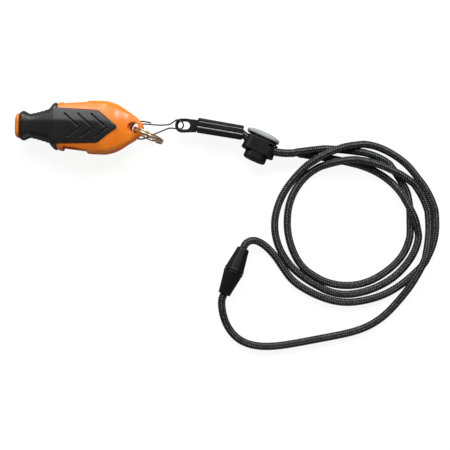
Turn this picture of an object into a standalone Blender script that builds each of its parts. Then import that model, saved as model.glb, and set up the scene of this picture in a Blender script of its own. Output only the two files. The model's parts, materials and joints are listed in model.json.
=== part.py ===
"""Pealess safety whistle on a breakaway neck lanyard, lying at rest on a flat surface.

Units: the helpers work in millimetres and finish() scales every object to metres.
+Z is up and the surface is z = 0. The whistle's long axis is +X, from mouthpiece to tail. Its
"front" is the upper face (+Z) and its "back" the lower one. Beyond the tail come the split ring,
wire snap, cord clamp and cord lock, then the coiled cords, whose ends meet in a breakaway barrel.
"""

import math

import bmesh
import bpy
import numpy as np

# ---------------------------------------------------------------- dimensions shared by sections
GAP = 0.3                      # running gap between neighbouring pieces
PANEL_HALF_T = 8.8             # half thickness of the whistle over the grip panels' flat crest
WHISTLE_Z = PANEL_HALF_T       # height of its middle plane: it rests on the back panel's crest
LINK_Z = 5.4                   # height of eyelet, clamp, lock and paired cords

CORD_R = 1.75
STRAND_STEP = 2 * CORD_R + GAP         # centre distance of neighbouring strands
PAIR_HALF_W = CORD_R + GAP             # slot round the paired cords, one above the other
PAIR_HALF_T = STRAND_STEP / 2 + CORD_R + GAP
PAIR_CORNER = PAIR_HALF_W - 0.05
LOW = CORD_R + 0.05            # height of a strand that lies on the surface
HIGH = LOW + STRAND_STEP       # height of a strand that lies on another one

# object origins, on the joint axes
WHISTLE_HINGE = (29.77, -0.35, WHISTLE_Z)
RING_HINGE = (37.3, -3.6, 4.3)
EYE_HINGE = (53.0, 3.0, LINK_Z)
GATE_HINGE = (50.6, 4.35, 6.7)
LEADER_HINGE = (121.0, -10.45, LINK_Z)
TAIL_HINGE = (158.6, -104.8, LOW)

# ---------------------------------------------------------------- scene and materials
for old_object in list(bpy.data.objects):
    bpy.data.objects.remove(old_object, do_unlink=True)
for old_mesh in list(bpy.data.meshes):
    bpy.data.meshes.remove(old_mesh)
for old_material in list(bpy.data.materials):
    bpy.data.materials.remove(old_material)
bpy.context.scene.unit_settings.scale_length = 1.0


def material(name, colour, roughness, metallic=0.0):
    made = bpy.data.materials.new(name)
    made.use_nodes = True
    shader = made.node_tree.nodes["Principled BSDF"]
    shader.inputs["Base Color"].default_value = colour
    shader.inputs["Roughness"].default_value = roughness
    shader.inputs["Metallic"].default_value = metallic
    made.diffuse_color = colour
    return made


ORANGE = material("orange_plastic", colour=(0.89, 0.262, 0.037, 1.0), roughness=0.3)
BLACK_SOFT = material("black_soft_grip", colour=(0.018, 0.018, 0.02, 1.0), roughness=0.55)
BLACK_HARD = material("black_plastic", colour=(0.012, 0.012, 0.014, 1.0), roughness=0.3)
GREY_HARD = material("grey_plastic", colour=(0.3, 0.302, 0.306, 1.0), roughness=0.35)
NICKEL = material("nickel_steel", colour=(0.47, 0.41, 0.35, 1.0), roughness=0.25, metallic=1.0)
STEEL = material("dark_steel_wire", colour=(0.28, 0.28, 0.29, 1.0), roughness=0.3, metallic=1.0)
CORD_BLACK = material("black_braid", colour=(0.02, 0.02, 0.022, 1.0), roughness=0.8)


# ---------------------------------------------------------------- objects
def mesh_of(points, faces):
    """A mesh object in millimetres, closed, with its faces turned outwards."""
    mesh = bpy.data.meshes.new("work")
    mesh.from_pydata([tuple(map(float, point)) for point in points], [], faces)
    made = bmesh.new()
    made.from_mesh(mesh)
    bmesh.ops.remove_doubles(made, verts=made.verts, dist=1e-5)
    bmesh.ops.recalc_face_normals(made, faces=made.faces)
    made.to_mesh(mesh)
    made.free()
    obj = bpy.data.objects.new("work", mesh)
    bpy.context.scene.collection.objects.link(obj)
    return obj


def combine(first, operation, others):
    """Applies one boolean to first for each other object, and removes the others."""
    for other in others:
        modifier = first.modifiers.new("boolean", "BOOLEAN")
        modifier.operation = operation
        modifier.solver = "EXACT"
        modifier.object = other
        bpy.context.view_layer.update()
        graph = bpy.context.evaluated_depsgraph_get()
        made = bpy.data.meshes.new_from_object(first.evaluated_get(graph))
        first.modifiers.clear()
        first.data = made
        bpy.data.objects.remove(other, do_unlink=True)
    return first


def cut(first, *others):
    return combine(first, "DIFFERENCE", others)


def join(first, *others):
    return combine(first, "UNION", others)


def meet(first, *others):
    return combine(first, "INTERSECT", others)


def change_points(obj, change):
    """Replaces the mesh's points, as an (n, 3) array, by change(points)."""
    flat = np.empty(len(obj.data.vertices) * 3, np.float32)
    obj.data.vertices.foreach_get("co", flat)
    points = change(flat.reshape(-1, 3).astype(np.float64))
    obj.data.vertices.foreach_set("co", points.astype(np.float32).reshape(-1))
    obj.data.update()
    return obj


def place(obj, position, heading, z):
    """Turns the object about Z by heading and moves it to position and z."""
    cosine, sine = math.cos(heading), math.sin(heading)
    turn = np.array([[cosine, sine, 0], [-sine, cosine, 0], [0, 0, 1.0]])
    return change_points(obj, lambda points: points @ turn + np.array([*position, z]))


def finish(obj, name, mat, origin=(0.0, 0.0, 0.0)):
    """Names the object, scales it to metres and puts its origin on the joint axis."""
    origin = np.array(origin, float)
    change_points(obj, lambda points: (points - origin) * 0.001)
    obj.location = origin * 0.001
    obj.name = name
    obj.data.name = name
    obj.data.materials.clear()
    obj.data.materials.append(mat)


# ---------------------------------------------------------------- solids
def circle(radius, sides, start=0.0):
    angles = [start + 2 * math.pi * i / sides for i in range(sides)]
    return [(radius * math.cos(angle), radius * math.sin(angle)) for angle in angles]


def rounded(half_w, half_h, radius, steps=3):
    """A rounded rectangle as (across, up) points, with this many steps to a corner."""
    radius = max(0.02, min(radius, half_w * 0.98, half_h * 0.98))
    points = []
    for quarter, (side_w, side_h) in enumerate(((1, 1), (-1, 1), (-1, -1), (1, -1))):
        for i in range(steps + 1):
            angle = math.pi / 2 * (quarter + i / steps)
            points.append((side_w * (half_w - radius) + radius * math.cos(angle),
                           side_h * (half_h - radius) + radius * math.sin(angle)))
    return points


def skin(rings, closed=False):
    """A skin over rings of equal length: with flat ends, or closed from last ring to first."""
    count, size = len(rings), len(rings[0])
    faces = []
    for i in range(count if closed else count - 1):
        here, beyond = i * size, (i + 1) % count * size
        for j in range(size):
            k = (j + 1) % size
            faces.append((here + j, here + k, beyond + k, beyond + j))
    if not closed:
        faces.append(tuple(range(size))[::-1])
        faces.append(tuple((count - 1) * size + j for j in range(size)))
    return mesh_of(np.concatenate([np.asarray(ring, float) for ring in rings]), faces)


def loft_x(stations, z_middle=0.0, steps=3):
    """A skin along X over (x, half width in Y, half height in Z, corner radius)."""
    return skin([[(x, across, z_middle + up) for across, up in rounded(half_w, half_h, radius, steps)]
                 for x, half_w, half_h, radius in stations])


def box(x0, x1, y0, y1, z0, z1):
    points = [(x, y, z) for z in (z0, z1) for y in (y0, y1) for x in (x0, x1)]
    return mesh_of(points, [(0, 2, 3, 1), (4, 5, 7, 6), (0, 1, 5, 4),
                            (2, 6, 7, 3), (0, 4, 6, 2), (1, 3, 7, 5)])


def prism(outline, z0, z1):
    """An outline in X and Y, from z0 to z1."""
    return skin([[(x, y, z) for x, y in outline] for z in (z0, z1)])


def turned_ring(profile, sides):
    """A closed loop of (x, radius) points turned about X."""
    return skin([[(x, radius * cosine, radius * sine) for x, radius in profile]
                 for cosine, sine in circle(1.0, sides)], closed=True)


def frames(path):
    """Parallel-transported (tangent, normal, binormal) along a path."""
    tangents = np.gradient(path, axis=0)
    tangents /= np.linalg.norm(tangents, axis=1)[:, None]
    up = np.array([0.0, 0.0, 1.0])
    if abs(tangents[0] @ up) > 0.9:
        up = np.array([1.0, 0.0, 0.0])
    normal = np.cross(tangents[0], up)
    normal /= np.linalg.norm(normal)
    out = []
    for tangent in tangents:
        normal = normal - tangent * (normal @ tangent)
        normal /= np.linalg.norm(normal)
        out.append((tangent, normal, np.cross(tangent, normal)))
    return out


DOME = 1.1                     # length of a tube's domed end


def tube(path, radius, sides, dome_start=False, dome_end=False):
    """A round bar along a path. A domed end stays just within the path's end."""
    path = np.asarray(path, float)
    axes = frames(path)
    # (centre, axes, share): share is the place on the dome, 0 at its foot and 1 at its tip
    stations = [(centre, axis, 0.0) for centre, axis in zip(path, axes)]
    if dome_start:
        stations[:1] = [(path[0] + axes[0][0] * DOME * (1 - share), axes[0], share)
                        for share in (0.95, 0.6, 0.0)]
    if dome_end:
        stations[-1:] = [(path[-1] - axes[-1][0] * DOME * (1 - share), axes[-1], share)
                         for share in (0.0, 0.6, 0.95)]
    rings = []
    for centre, (_, normal, binormal), share in stations:
        ring_r = radius * math.sqrt(1 - share * share)
        rings.append([centre + across * normal + up * binormal
                      for across, up in circle(ring_r, sides)])
    return skin(rings)


# ---------------------------------------------------------------- paths
def lengths_along(path):
    """The length of the path up to each of its points."""
    return np.concatenate([[0], np.cumsum(np.linalg.norm(np.diff(path, axis=0), axis=1))])


def points_at(path, places):
    """The path's points at these lengths along it."""
    along = lengths_along(path)
    return np.stack([np.interp(places, along, path[:, k]) for k in range(3)], axis=1)


def resample(path, step):
    """The path again, with points an equal distance of about step apart."""
    length = lengths_along(path)[-1]
    count = max(2, int(round(length / step)) + 1)
    return points_at(path, np.linspace(0, length, count))


def shorten(path, start, end):
    """The path with a length taken off each end."""
    return points_at(path, np.linspace(start, lengths_along(path)[-1] - end, len(path)))


def spline(guides, step):
    """A natural cubic spline through guide points, sampled about every step."""
    guides = np.asarray(guides, float)
    # the parameter grows with the distance between guides to the power 0.75
    distances = np.linalg.norm(np.diff(guides, axis=0), axis=1)
    knots = np.concatenate([[0], np.cumsum(distances ** 0.75)])
    count = len(guides)
    span = np.diff(knots)
    system = np.zeros((count, count))
    right = np.zeros((count, 3))
    system[0, 0] = system[-1, -1] = 1
    for i in range(1, count - 1):
        system[i, i - 1:i + 2] = span[i - 1], 2 * (span[i - 1] + span[i]), span[i]
        right[i] = 6 * ((guides[i + 1] - guides[i]) / span[i]
                        - (guides[i] - guides[i - 1]) / span[i - 1])
    bend = np.linalg.solve(system, right)

    def point_at(knot):
        i = min(max(np.searchsorted(knots, knot) - 1, 0), count - 2)
        after, before = knots[i + 1] - knot, knot - knots[i]
        cubic = (bend[i] * after ** 3 + bend[i + 1] * before ** 3) / (6 * span[i])
        return (cubic + (guides[i] / span[i] - bend[i] * span[i] / 6) * after
                + (guides[i + 1] / span[i] - bend[i + 1] * span[i] / 6) * before)

    fine = np.array([point_at(knot) for knot in np.linspace(0, knots[-1], 40 * count)])
    return resample(fine, step)


# ---------------------------------------------------------------- whistle
PANEL_EDGE_T = 8.35            # half thickness at the edges of a wide grip panel ...
PANEL_FALL_RUN = 6.0           # ... this far out from its crest
CREST_HALF_W, CREST_SHARE = 3.2, 0.55  # crest's half width, and its largest share of the panel's
POCKET_T = 6.6                 # floor of the pocket that holds each grip panel
PANEL_Y = -0.3                 # the panels' middle line
CAVITY_T = 5.3                 # half height of the sound chambers
WALL = 1.8                     # side wall of the sound chambers
WINDOW_X = (-8.6, 4.5)         # sound window, from windway exit to the end of the lip ramp
WINDOW_FLOOR_Y, LIP_Y = 10.2, 13.1
WINDOW_HALF_T = 6.5
NOTCH_Y = {1: (12.2, 13.4), -1: (11.25, 12.7)}     # side: edge of the notch at its two ends
SLOT_Y = (8.6, 10.8)           # slot from the air space into the window
SLOT_LENGTH, SLOT_HALF_T = 3.6, 4.6
HOLE_X, HOLE_R = 29.0, 2.9     # lanyard hole in the tail
HOLE_STRAIGHT, HOLE_END, HOLE_FLARE = 2.7, 8.0, 2.9    # it widens by the flare between these
CHEVRON_APEX = (-0.6, 6.7, 14.0)
BACK_SHIFT = -3.3              # the back panel's chevrons sit this much nearer the mouth
CHEVRON_W, CHEVRON_D = 0.8, 0.75
# start and end of each arm as (x from the apex, y from PANEL_Y); the -Y arm starts further along
CHEVRON_ARMS = (((0.0, 0.15), (-7.1, 6.4)), ((1.5, -0.7), (-5.2, -5.9)))
BEYOND = 20.0                  # y that is outside the body

# the lofts below are (x, half width, half height, corner radius)
# the orange body, mouth lip to tail
BODY = [
    (-35.25, 4.4, 2.6, 2.2), (-34.95, 5.5, 3.3, 2.6), (-34.4, 6.25, 3.9, 3.0),
    (-33.7, 6.7, 4.2, 3.2), (-32.95, 6.75, 4.2, 3.2), (-32.85, 4.3, 3.6, 2.6),
    (-17.5, 4.6, 4.2, 3.0), (-15.2, 7.0, 5.3, 3.0), (-13.6, 9.5, 6.4, 3.0),
    (-12.45, 10.8, 6.9, 2.8), (-11.9, 12.1, 7.7, 2.2), (-11.65, 12.35, 7.9, 2.0),
    (-8.6, 12.95, 8.0, 1.7), (-2.0, 13.4, 8.0, 1.7), (4.5, 14.05, 8.0, 1.7),
    (9.0, 14.35, 8.0, 1.8), (13.8, 14.3, 8.0, 2.1), (17.6, 13.6, 7.75, 2.6),
    (20.0, 12.8, 7.15, 2.7), (22.0, 11.9, 6.3, 2.7), (24.0, 10.7, 5.35, 2.6),
    (26.4, 9.1, 4.4, 2.2), (28.8, 7.5, 3.9, 1.7), (31.0, 5.9, 3.8, 1.6),
    (33.0, 4.0, 3.65, 1.6), (34.2, 2.4, 3.3, 1.5), (34.85, 1.1, 2.7, 1.0),
]
# the soft grip's outside round the mouthpiece and shoulder
GRIP = [
    (-32.6, 7.0, 4.9, 3.4), (-31.7, 7.7, 5.7, 3.9), (-30.5, 7.95, 6.2, 4.2),
    (-29.2, 7.4, 5.8, 4.0), (-27.6, 6.6, 5.3, 3.6), (-26.5, 6.4, 5.2, 3.5),
    (-24.0, 6.85, 5.3, 3.6), (-21.0, 7.55, 5.6, 3.7), (-18.2, 8.3, 6.1, 3.8),
    (-16.5, 9.1, 6.7, 3.8), (-15.4, 10.7, 7.6, 3.8), (-14.5, 11.8, 8.2, 3.6),
    (-12.3, 12.4, 8.5, 3.4),
]
# its inside, a little outside the body's tube and shoulder
GRIP_INSIDE = [
    (-33.4, 4.6, 3.9, 2.8), (-17.5, 4.9, 4.5, 3.2), (-15.2, 7.3, 5.6, 3.2),
    (-13.6, 9.8, 6.7, 3.2), (-12.45, 11.15, 7.2, 3.0), (-11.85, 12.5, 7.7, 2.8),
]
# the air space: mouth channel, windways and the two sound chambers
AIR = [
    (-36.0, 3.1, 2.2, 1.0), (-17.5, 3.3, 2.6, 1.0), (-9.3, 9.7, 4.4, 1.0),
    (-8.9, 10.4, CAVITY_T, 1.0), (-3.0, 13.4 - 2 * WALL, CAVITY_T, 1.0),
    (4.5, 14.05 - WALL, CAVITY_T, 1.0), (13.8, 14.3 - WALL, CAVITY_T, 1.0),
    (17.6, 11.6, 5.0, 1.0), (20.5, 9.8, 4.2, 1.0), (21.0, 8.6, 3.6, 1.0),
]
# the insert that splits the mouth channel in two and then parts the chambers
CORE = [
    (-33.6, 0.4, 1.5, 0.3), (-31.0, 1.4, 1.8, 0.6), (-25.0, 1.9, 1.95, 0.6),
    (-17.6, 2.1, 2.2, 0.6), (-10.2, 7.8, 3.9, 0.8), (-9.5, 8.3, 4.0, 0.8),
    (-8.2, 8.3, 4.1, 0.8), (-7.4, 7.0, 4.2, 0.8), (-5.8, 1.2, 4.6, 0.5),
    (-5.0, 0.8, 4.9, 0.4), (17.4, 0.8, 4.6, 0.4), (20.0, 0.8, 3.9, 0.4),
]
# the grip panel's outline: (x, half width); it ends in an arrow point
PANEL = [
    (-14.0, 9.8), (-11.0, 9.55), (-4.0, 9.25), (3.0, 8.95), (9.6, 8.7), (11.0, 8.0),
    (18.4, 1.9), (20.3, 0.6), (20.6, 0.25),
]


def panel(side, pocket=False):
    """A grip panel, or the cutter for its pocket: a low roof falling from its crest to each edge.

    side is +1 for the upper face and -1 for the lower.
    """
    grow, low, rise = (GAP, POCKET_T, 3.0) if pocket else (0.0, POCKET_T + GAP, 0.0)
    first_x, last_x = PANEL[0][0], PANEL[-1][0]
    rings = []
    for i, (x, half_w) in enumerate(PANEL):
        x += -grow if i == 0 else grow * (x - first_x) / (last_x - first_x)
        half_w += grow
        crest = min(CREST_HALF_W, CREST_SHARE * half_w)
        fall = (PANEL_HALF_T - PANEL_EDGE_T) * (half_w - crest) / PANEL_FALL_RUN
        edge_z, crest_z = PANEL_HALF_T - fall + rise, PANEL_HALF_T + rise
        section = ((-half_w, low), (-half_w, edge_z), (-crest, crest_z),
                   (crest, crest_z), (half_w, edge_z), (half_w, low))
        rings.append([(x, y + PANEL_Y, WHISTLE_Z + side * z) for y, z in section])
    return skin(rings)


def chevron(apex_x, side):
    """Cutters for the two arms of a shallow V groove in a grip panel."""
    z0, z1 = sorted((WHISTLE_Z + side * (PANEL_HALF_T - CHEVRON_D),
                     WHISTLE_Z + side * (PANEL_HALF_T + 1)))
    arms = []
    for (start_x, start_y), (end_x, end_y) in CHEVRON_ARMS:
        run_x, run_y = end_x - start_x, end_y - start_y
        scale = CHEVRON_W / 2 / math.hypot(run_x, run_y)
        off_x, off_y = -run_y * scale, run_x * scale
        corners = ((start_x + off_x, start_y + off_y), (end_x + off_x, end_y + off_y),
                   (end_x - off_x, end_y - off_y), (start_x - off_x, start_y - off_y))
        arms.append(prism([(apex_x + x, PANEL_Y + y) for x, y in corners], z0, z1))
    return arms


def grip_sleeve():
    grip = join(loft_x(GRIP, WHISTLE_Z), panel(1), panel(-1))
    cut(grip, loft_x(GRIP_INSIDE, WHISTLE_Z))
    for apex in CHEVRON_APEX:
        cut(grip, *chevron(apex, 1))
        cut(grip, *chevron(apex + BACK_SHIFT, -1))
    return grip


def side_cutter(side, inner_edge, half_t):
    """A prism over the window's length, from its inner edge out past the +Y or -Y side."""
    start_x, end_x = WINDOW_X
    points = ((start_x, BEYOND), *inner_edge, (end_x, BEYOND))
    outline = [(x, side * y) for x, y in points]
    return prism(outline if side < 0 else outline[::-1], WHISTLE_Z - half_t, WHISTLE_Z + half_t)


def window(side):
    """The sound window in one side wall: deep at the windway exit, then a ramp up to the lip."""
    start_x, end_x = WINDOW_X
    edge = ((start_x, WINDOW_FLOOR_Y), (start_x + 4.0, WINDOW_FLOOR_Y), (end_x - 0.2, LIP_Y))
    return side_cutter(side, edge, WINDOW_HALF_T)


def notch(side):
    """Sets the window's edges back from the outline of the body."""
    start_y, end_y = NOTCH_Y[side]
    return side_cutter(side, ((WINDOW_X[0], start_y), (WINDOW_X[1] - 0.3, end_y)), 12)


def window_slot(side):
    """The slot that opens each chamber to its window."""
    start_x = WINDOW_X[0] + 0.1
    y0, y1 = sorted(side * y for y in SLOT_Y)
    return box(start_x, start_x + SLOT_LENGTH, y0, y1,
               WHISTLE_Z - SLOT_HALF_T, WHISTLE_Z + SLOT_HALF_T)


def lanyard_hole():
    """The upright hole in the tail, flared towards both faces."""
    profile = ((-HOLE_END, HOLE_R + HOLE_FLARE), (-HOLE_STRAIGHT, HOLE_R),
               (HOLE_STRAIGHT, HOLE_R), (HOLE_END, HOLE_R + HOLE_FLARE))
    return skin([[(HOLE_X - sine, cosine, WHISTLE_Z + z)
                  for cosine, sine in circle(radius, 24, 0.03)] for z, radius in profile])


def body_shell(side):
    """The upper (+1) or lower (-1) half of the body."""
    half = loft_x(BODY, WHISTLE_Z)
    cut(half, panel(1, pocket=True))
    cut(half, panel(-1, pocket=True))
    cut(half, loft_x(AIR, WHISTLE_Z, 2), window(1), window(-1),
        window_slot(1), window_slot(-1), notch(1), notch(-1), lanyard_hole())
    z0, z1 = sorted((WHISTLE_Z + side * GAP / 2, WHISTLE_Z + side * 30))
    return meet(half, box(-50, 50, -30, 30, z0, z1))


# ---------------------------------------------------------------- split ring
RING_OUTER_R, RING_RADIAL, RING_AXIAL = 9.0, 1.5, 1.15     # outside, and the wire's section
RING_HEADING = math.radians(-23.4)     # the ring stands upright in this direction
RING_FAR = (45.6, -7.2, 9.2)   # outermost point of the ring, away from the whistle
COIL_SHIFT = (RING_AXIAL + 0.12) / 2   # each turn's distance from the ring's middle plane
RING_ZERO = 62.0               # the turn, in degrees, that points along the heading
CROSS_FROM, CROSS_SPAN = 340.0, 40.0   # the crossover, in degrees
# degrees along the wire, closer together in the crossover
RING_TURNS = ([24 + 12.2 * i for i in range(26)] + [340 + 5 * i for i in range(9)]
              + [391 + 12.2 * i for i in range(26)])


def axial_place(turn):
    """Place along the ring's axis: two flat turns joined by a short crossover."""
    share = min(1.0, max(0.0, (turn - CROSS_FROM) / CROSS_SPAN))
    return -COIL_SHIFT + 2 * COIL_SHIFT * (3 * share ** 2 - 2 * share ** 3)


def split_ring():
    heading = np.array([math.cos(RING_HEADING), math.sin(RING_HEADING), 0.0])
    axis = np.array([-heading[1], heading[0], 0.0])
    upward = np.array([0, 0, 1.0])
    centre = np.array(RING_FAR) - RING_OUTER_R * heading
    half_r, half_a = RING_RADIAL / 2, RING_AXIAL / 2
    corners = ((-half_r, -half_a), (half_r, -half_a), (half_r, half_a), (-half_r, half_a))
    rings = []
    for turn in RING_TURNS:
        angle = math.radians(turn - RING_ZERO)
        outward = math.cos(angle) * heading + math.sin(angle) * upward
        middle = centre + axial_place(turn) * axis
        rings.append([middle + (RING_OUTER_R - half_r + radial) * outward + axial * axis
                      for radial, axial in corners])
    return skin(rings)


# ---------------------------------------------------------------- wire snap: hook and sprung gate
WIRE_R, WIRE_SIDES = 0.4, 6
# guide points (x, y, z) of the bent wires
HOOK = [
    (38.3, 4.1, 4.7), (35.5, 4.6, 4.5), (32.0, 4.7, 4.3), (29.3, 3.4, 4.2), (27.9, 0.9, 4.2),
    (28.4, -2.2, 4.2), (30.2, -4.2, 4.2), (33.0, -5.0, 4.2), (36.1, -4.2, 4.3),
    (40.4, -2.1, 4.4), (45.3, 0.1, 4.3), (48.7, 1.5, 3.7), (50.6, 1.65, 3.0),
    (52.4, 1.5, 2.75), (54.2, 1.35, 2.85), (55.7, 1.9, 3.6), (56.3, 3.1, 5.2),
    (55.9, 4.3, 6.6), (54.9, 5.2, 7.35), (53.3, 5.75, 7.55), (51.9, 5.2, 7.3),
    (50.9, 4.55, 6.9),
]
GATE = [
    (50.4, 4.2, 6.6), (49.0, 3.4, 6.1), (47.0, 3.0, 5.8), (43.6, 2.8, 5.6),
    (38.1, 3.1, 5.0), (34.6, 3.3, 4.4), (33.3, 3.2, 4.3),
]


def wire(guides, step):
    return tube(spline(guides, step), WIRE_R, WIRE_SIDES)


# ---------------------------------------------------------------- the paired cords' route
CLAMP_FROM, CLAMP_TO = np.array((64.0, 3.3)), np.array((89.15, -0.3))
CLAMP_LEN = float(np.linalg.norm(CLAMP_TO - CLAMP_FROM))
CLAMP_HEADING = math.atan2(CLAMP_TO[1] - CLAMP_FROM[1], CLAMP_TO[0] - CLAMP_FROM[0])
CHANNEL_Y = 0.45               # the cords lie a little off the clamp's middle
SLIDE_CENTRE, SLIDE_R = (113.1, 22.7), 33.6    # the cords follow this arc through the lock
LEADER_END_A, LEADER_END_B = (121.0, -9.9, 7.2), (121.0, -11.0, 3.4)


def arc_at(degrees, z):
    """A point on the slide arc; 0 is on the -Y side of its centre and positive runs to +X."""
    angle = math.radians(degrees)
    return (SLIDE_CENTRE[0] + SLIDE_R * math.sin(angle),
            SLIDE_CENTRE[1] - SLIDE_R * math.cos(angle), z)


def leader_path(level, end):
    """From inside the clamp, through the lock, to the leader hinge.

    level is +1 for the upper cord and -1 for the lower.
    """
    z = LINK_Z + level * STRAND_STEP / 2
    along = np.array([math.cos(CLAMP_HEADING), math.sin(CLAMP_HEADING)])
    across = np.array([-along[1], along[0]])
    # (distance along the clamp, distance across it)
    places = [(distance, CHANNEL_Y) for distance in (4.2, 10.0, 16.0, 20.5)]
    places.append((CLAMP_LEN - 1.2, CHANNEL_Y - 0.55))
    inside = [(*(CLAMP_FROM + along * far + across * aside), z) for far, aside in places]
    arc = [arc_at(degrees, z) for degrees in np.linspace(-36.0, 8.0, 13)]
    last = [(118.9, -10.25, z), (end[0] - 0.15, end[1], end[2])]
    return spline(inside + arc + last, 0.8)


LEADER_STEP = 1.8
LEADERS = {"cord_a_leader": leader_path(1, LEADER_END_A),
           "cord_b_leader": leader_path(-1, LEADER_END_B)}

# ---------------------------------------------------------------- cord-end clamp with eyelet
# in its own axes: X from eyelet to mouth, the lid on the -Y side of the base
CLAMP_HALF_W, CLAMP_HALF_T = 3.6, 5.1
PART_Y = -1.2                  # the lid meets the base here
EYE_CENTRE, EYE_HEADING = (57.3, 2.5), math.radians(1.5)   # middle of the eyelet's hole
EYE_LEFT, EYE_RIGHT = -4.5, 8.4        # the plate's ends, measured from there
EYE_HALF_W, EYE_HALF_T, EYE_CORNER = 3.55, 1.0, 3.0
EYE_HOLE, EYE_HOLE_CORNER = (3.25, 2.3), 1.7       # half length and half width


def clamp_blank():
    return loft_x([(0.0, CLAMP_HALF_W - 0.5, CLAMP_HALF_T - 0.6, 1.0),
                   (0.6, CLAMP_HALF_W, CLAMP_HALF_T, 1.0),
                   (CLAMP_LEN - 0.6, CLAMP_HALF_W - 0.15, CLAMP_HALF_T, 1.0),
                   (CLAMP_LEN, CLAMP_HALF_W - 0.6, CLAMP_HALF_T - 0.5, 1.0)], steps=2)


def clamp_channel():
    """The straight channel for the paired cords."""
    ring = rounded(PAIR_HALF_W, PAIR_HALF_T, PAIR_CORNER)
    return skin([[(x, CHANNEL_Y + across, up) for across, up in ring]
                 for x in (3.4, CLAMP_LEN + 2.0)])


def eye_prism(outline, half_t):
    """A prism on points measured from the eyelet's middle, in the clamp's own axes."""
    eye_cos, eye_sin = math.cos(EYE_HEADING), math.sin(EYE_HEADING)
    clamp_cos, clamp_sin = math.cos(CLAMP_HEADING), math.sin(CLAMP_HEADING)
    points = []
    for x, y in outline:
        world_x = EYE_CENTRE[0] + eye_cos * x - eye_sin * y - CLAMP_FROM[0]
        world_y = EYE_CENTRE[1] + eye_sin * x + eye_cos * y - CLAMP_FROM[1]
        points.append((clamp_cos * world_x + clamp_sin * world_y,
                       -clamp_sin * world_x + clamp_cos * world_y))
    return prism(points, -half_t, half_t)


def eye_plate():
    """The eyelet's plate, without its hole: two large corners at its free end."""
    corner = circle(EYE_CORNER, 16)[:5]        # a quarter turn in four steps
    corner_x, corner_y = EYE_LEFT + EYE_CORNER, EYE_HALF_W - EYE_CORNER
    outline = [(EYE_RIGHT, 2.9), (3.2, EYE_HALF_W - 0.3), (0.6, EYE_HALF_W)]
    outline += [(corner_x - sine, corner_y + cosine) for cosine, sine in corner]
    outline += [(corner_x - cosine, -corner_y - sine) for cosine, sine in corner]
    outline += [(0.6, -EYE_HALF_W), (3.2, -EYE_HALF_W + 0.1), (EYE_RIGHT, -EYE_HALF_W + 0.2)]
    # kept clear of the lid, and ended just inside the base
    return cut(eye_prism(outline, EYE_HALF_T), box(-0.35, 5.0, -8, PART_Y + GAP, -5, 5),
               box(1.2, 9.0, -8, 8, -5, 5))


def fit_to_cords(piece):
    """Lays a clamp piece in its place and clears it where the cords bend out of its mouth."""
    place(piece, CLAMP_FROM, CLAMP_HEADING, LINK_Z)
    for path in LEADERS.values():
        cut(piece, tube(resample(path, LEADER_STEP)[9:18], CORD_R + GAP + 0.1, 10))
    return piece


def clamp_base():
    base = cut(clamp_blank(), box(-5, CLAMP_LEN + 5, -8, PART_Y + GAP, -8, 8))
    join(base, eye_plate())
    cut(base, eye_prism(rounded(*EYE_HOLE, EYE_HOLE_CORNER), 5), clamp_channel())
    cut(base, box(4.5, CLAMP_LEN - 2.0, 1.45, 2.35, 3.5, 8.0))     # long slot in the +Z face
    cut(base, box(1.0, 2.6, -2.0, 0.6, -1.2, 1.2))                 # pocket for the lid's tab
    return fit_to_cords(base)


def clamp_lid():
    lid = cut(clamp_blank(), box(-5, CLAMP_LEN + 5, PART_Y, 8, -8, 8), clamp_channel())
    join(lid, box(1.3, 2.3, PART_Y - 0.6, 0.2, -0.9, 0.9))         # tab
    return fit_to_cords(lid)


# ---------------------------------------------------------------- cord lock
# in its own axes: X across, +Y out through the push plate, -Y into the housing
LOCK_ORIGIN = (100.85, -2.2)   # middle of the push plate's face, at the foot of its dome
LOCK_HEADING = math.radians(-23.0)
LOCK_HINGE = (*SLIDE_CENTRE, LINK_Z)
LOCK_HALF_W, LOCK_HALF_T = 9.3, 5.35
# depths from the plate's face
PLATE_END, BODY_TOP, BODY_END, HOUSING_END = 2.3, 3.7, 9.9, 14.4
STEM_END, SPRING_END = 9.5, 12.45
HOUSING_HALF_W, HOUSING_HALF_T = 5.9, 4.8
STEM_HALF_W, STEM_HALF_T = 5.0, 4.5
SPRING_R, SPRING_WIRE, SPRING_TURNS = 2.9, 0.28, 4
PRESS = 1.2                    # push-plate travel
# the dome on the plate: (y, inset in width, inset in thickness, corner radius)
LOCK_DOME = ((-0.9, 0.4, 0.4, 3.2), (0.2, 0.9, 0.5, 3.2), (1.2, 2.9, 1.1, 3.0), (1.9, 5.4, 2.3, 2.2))


def lock_place(piece):
    return place(piece, LOCK_ORIGIN, LOCK_HEADING, LINK_Z)


def cord_bore(towards_plate=0.0):
    """The slot for the paired cords: a piece of the slide arc, shifted towards the plate.

    It is built in place, not in the lock's axes.
    """
    shift_x = -math.sin(LOCK_HEADING) * towards_plate
    shift_y = math.cos(LOCK_HEADING) * towards_plate
    section = rounded(PAIR_HALF_W, PAIR_HALF_T, PAIR_CORNER)
    rings = []
    for i in range(13):
        degrees = -60.0 + 60.0 * i / 12
        x, y, z = arc_at(degrees, LINK_Z)
        out_x, out_y = math.sin(math.radians(degrees)), -math.cos(math.radians(degrees))
        rings.append([(x + shift_x + across * out_x, y + shift_y + across * out_y, z + up)
                      for across, up in section])
    return skin(rings)


def slab(half_w, half_t, y0, y1, radius, bevel, steps=3):
    """A block with rounded corners seen along Y, and bevelled ends, from y0 down to y1."""
    ends = ((y0, bevel), (y0 - bevel, 0.0), (y1 + bevel, 0.0), (y1, bevel))
    return skin([[(across, y, up) for across, up in
                  rounded(half_w - inset, half_t - inset, radius, steps)] for y, inset in ends])


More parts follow.
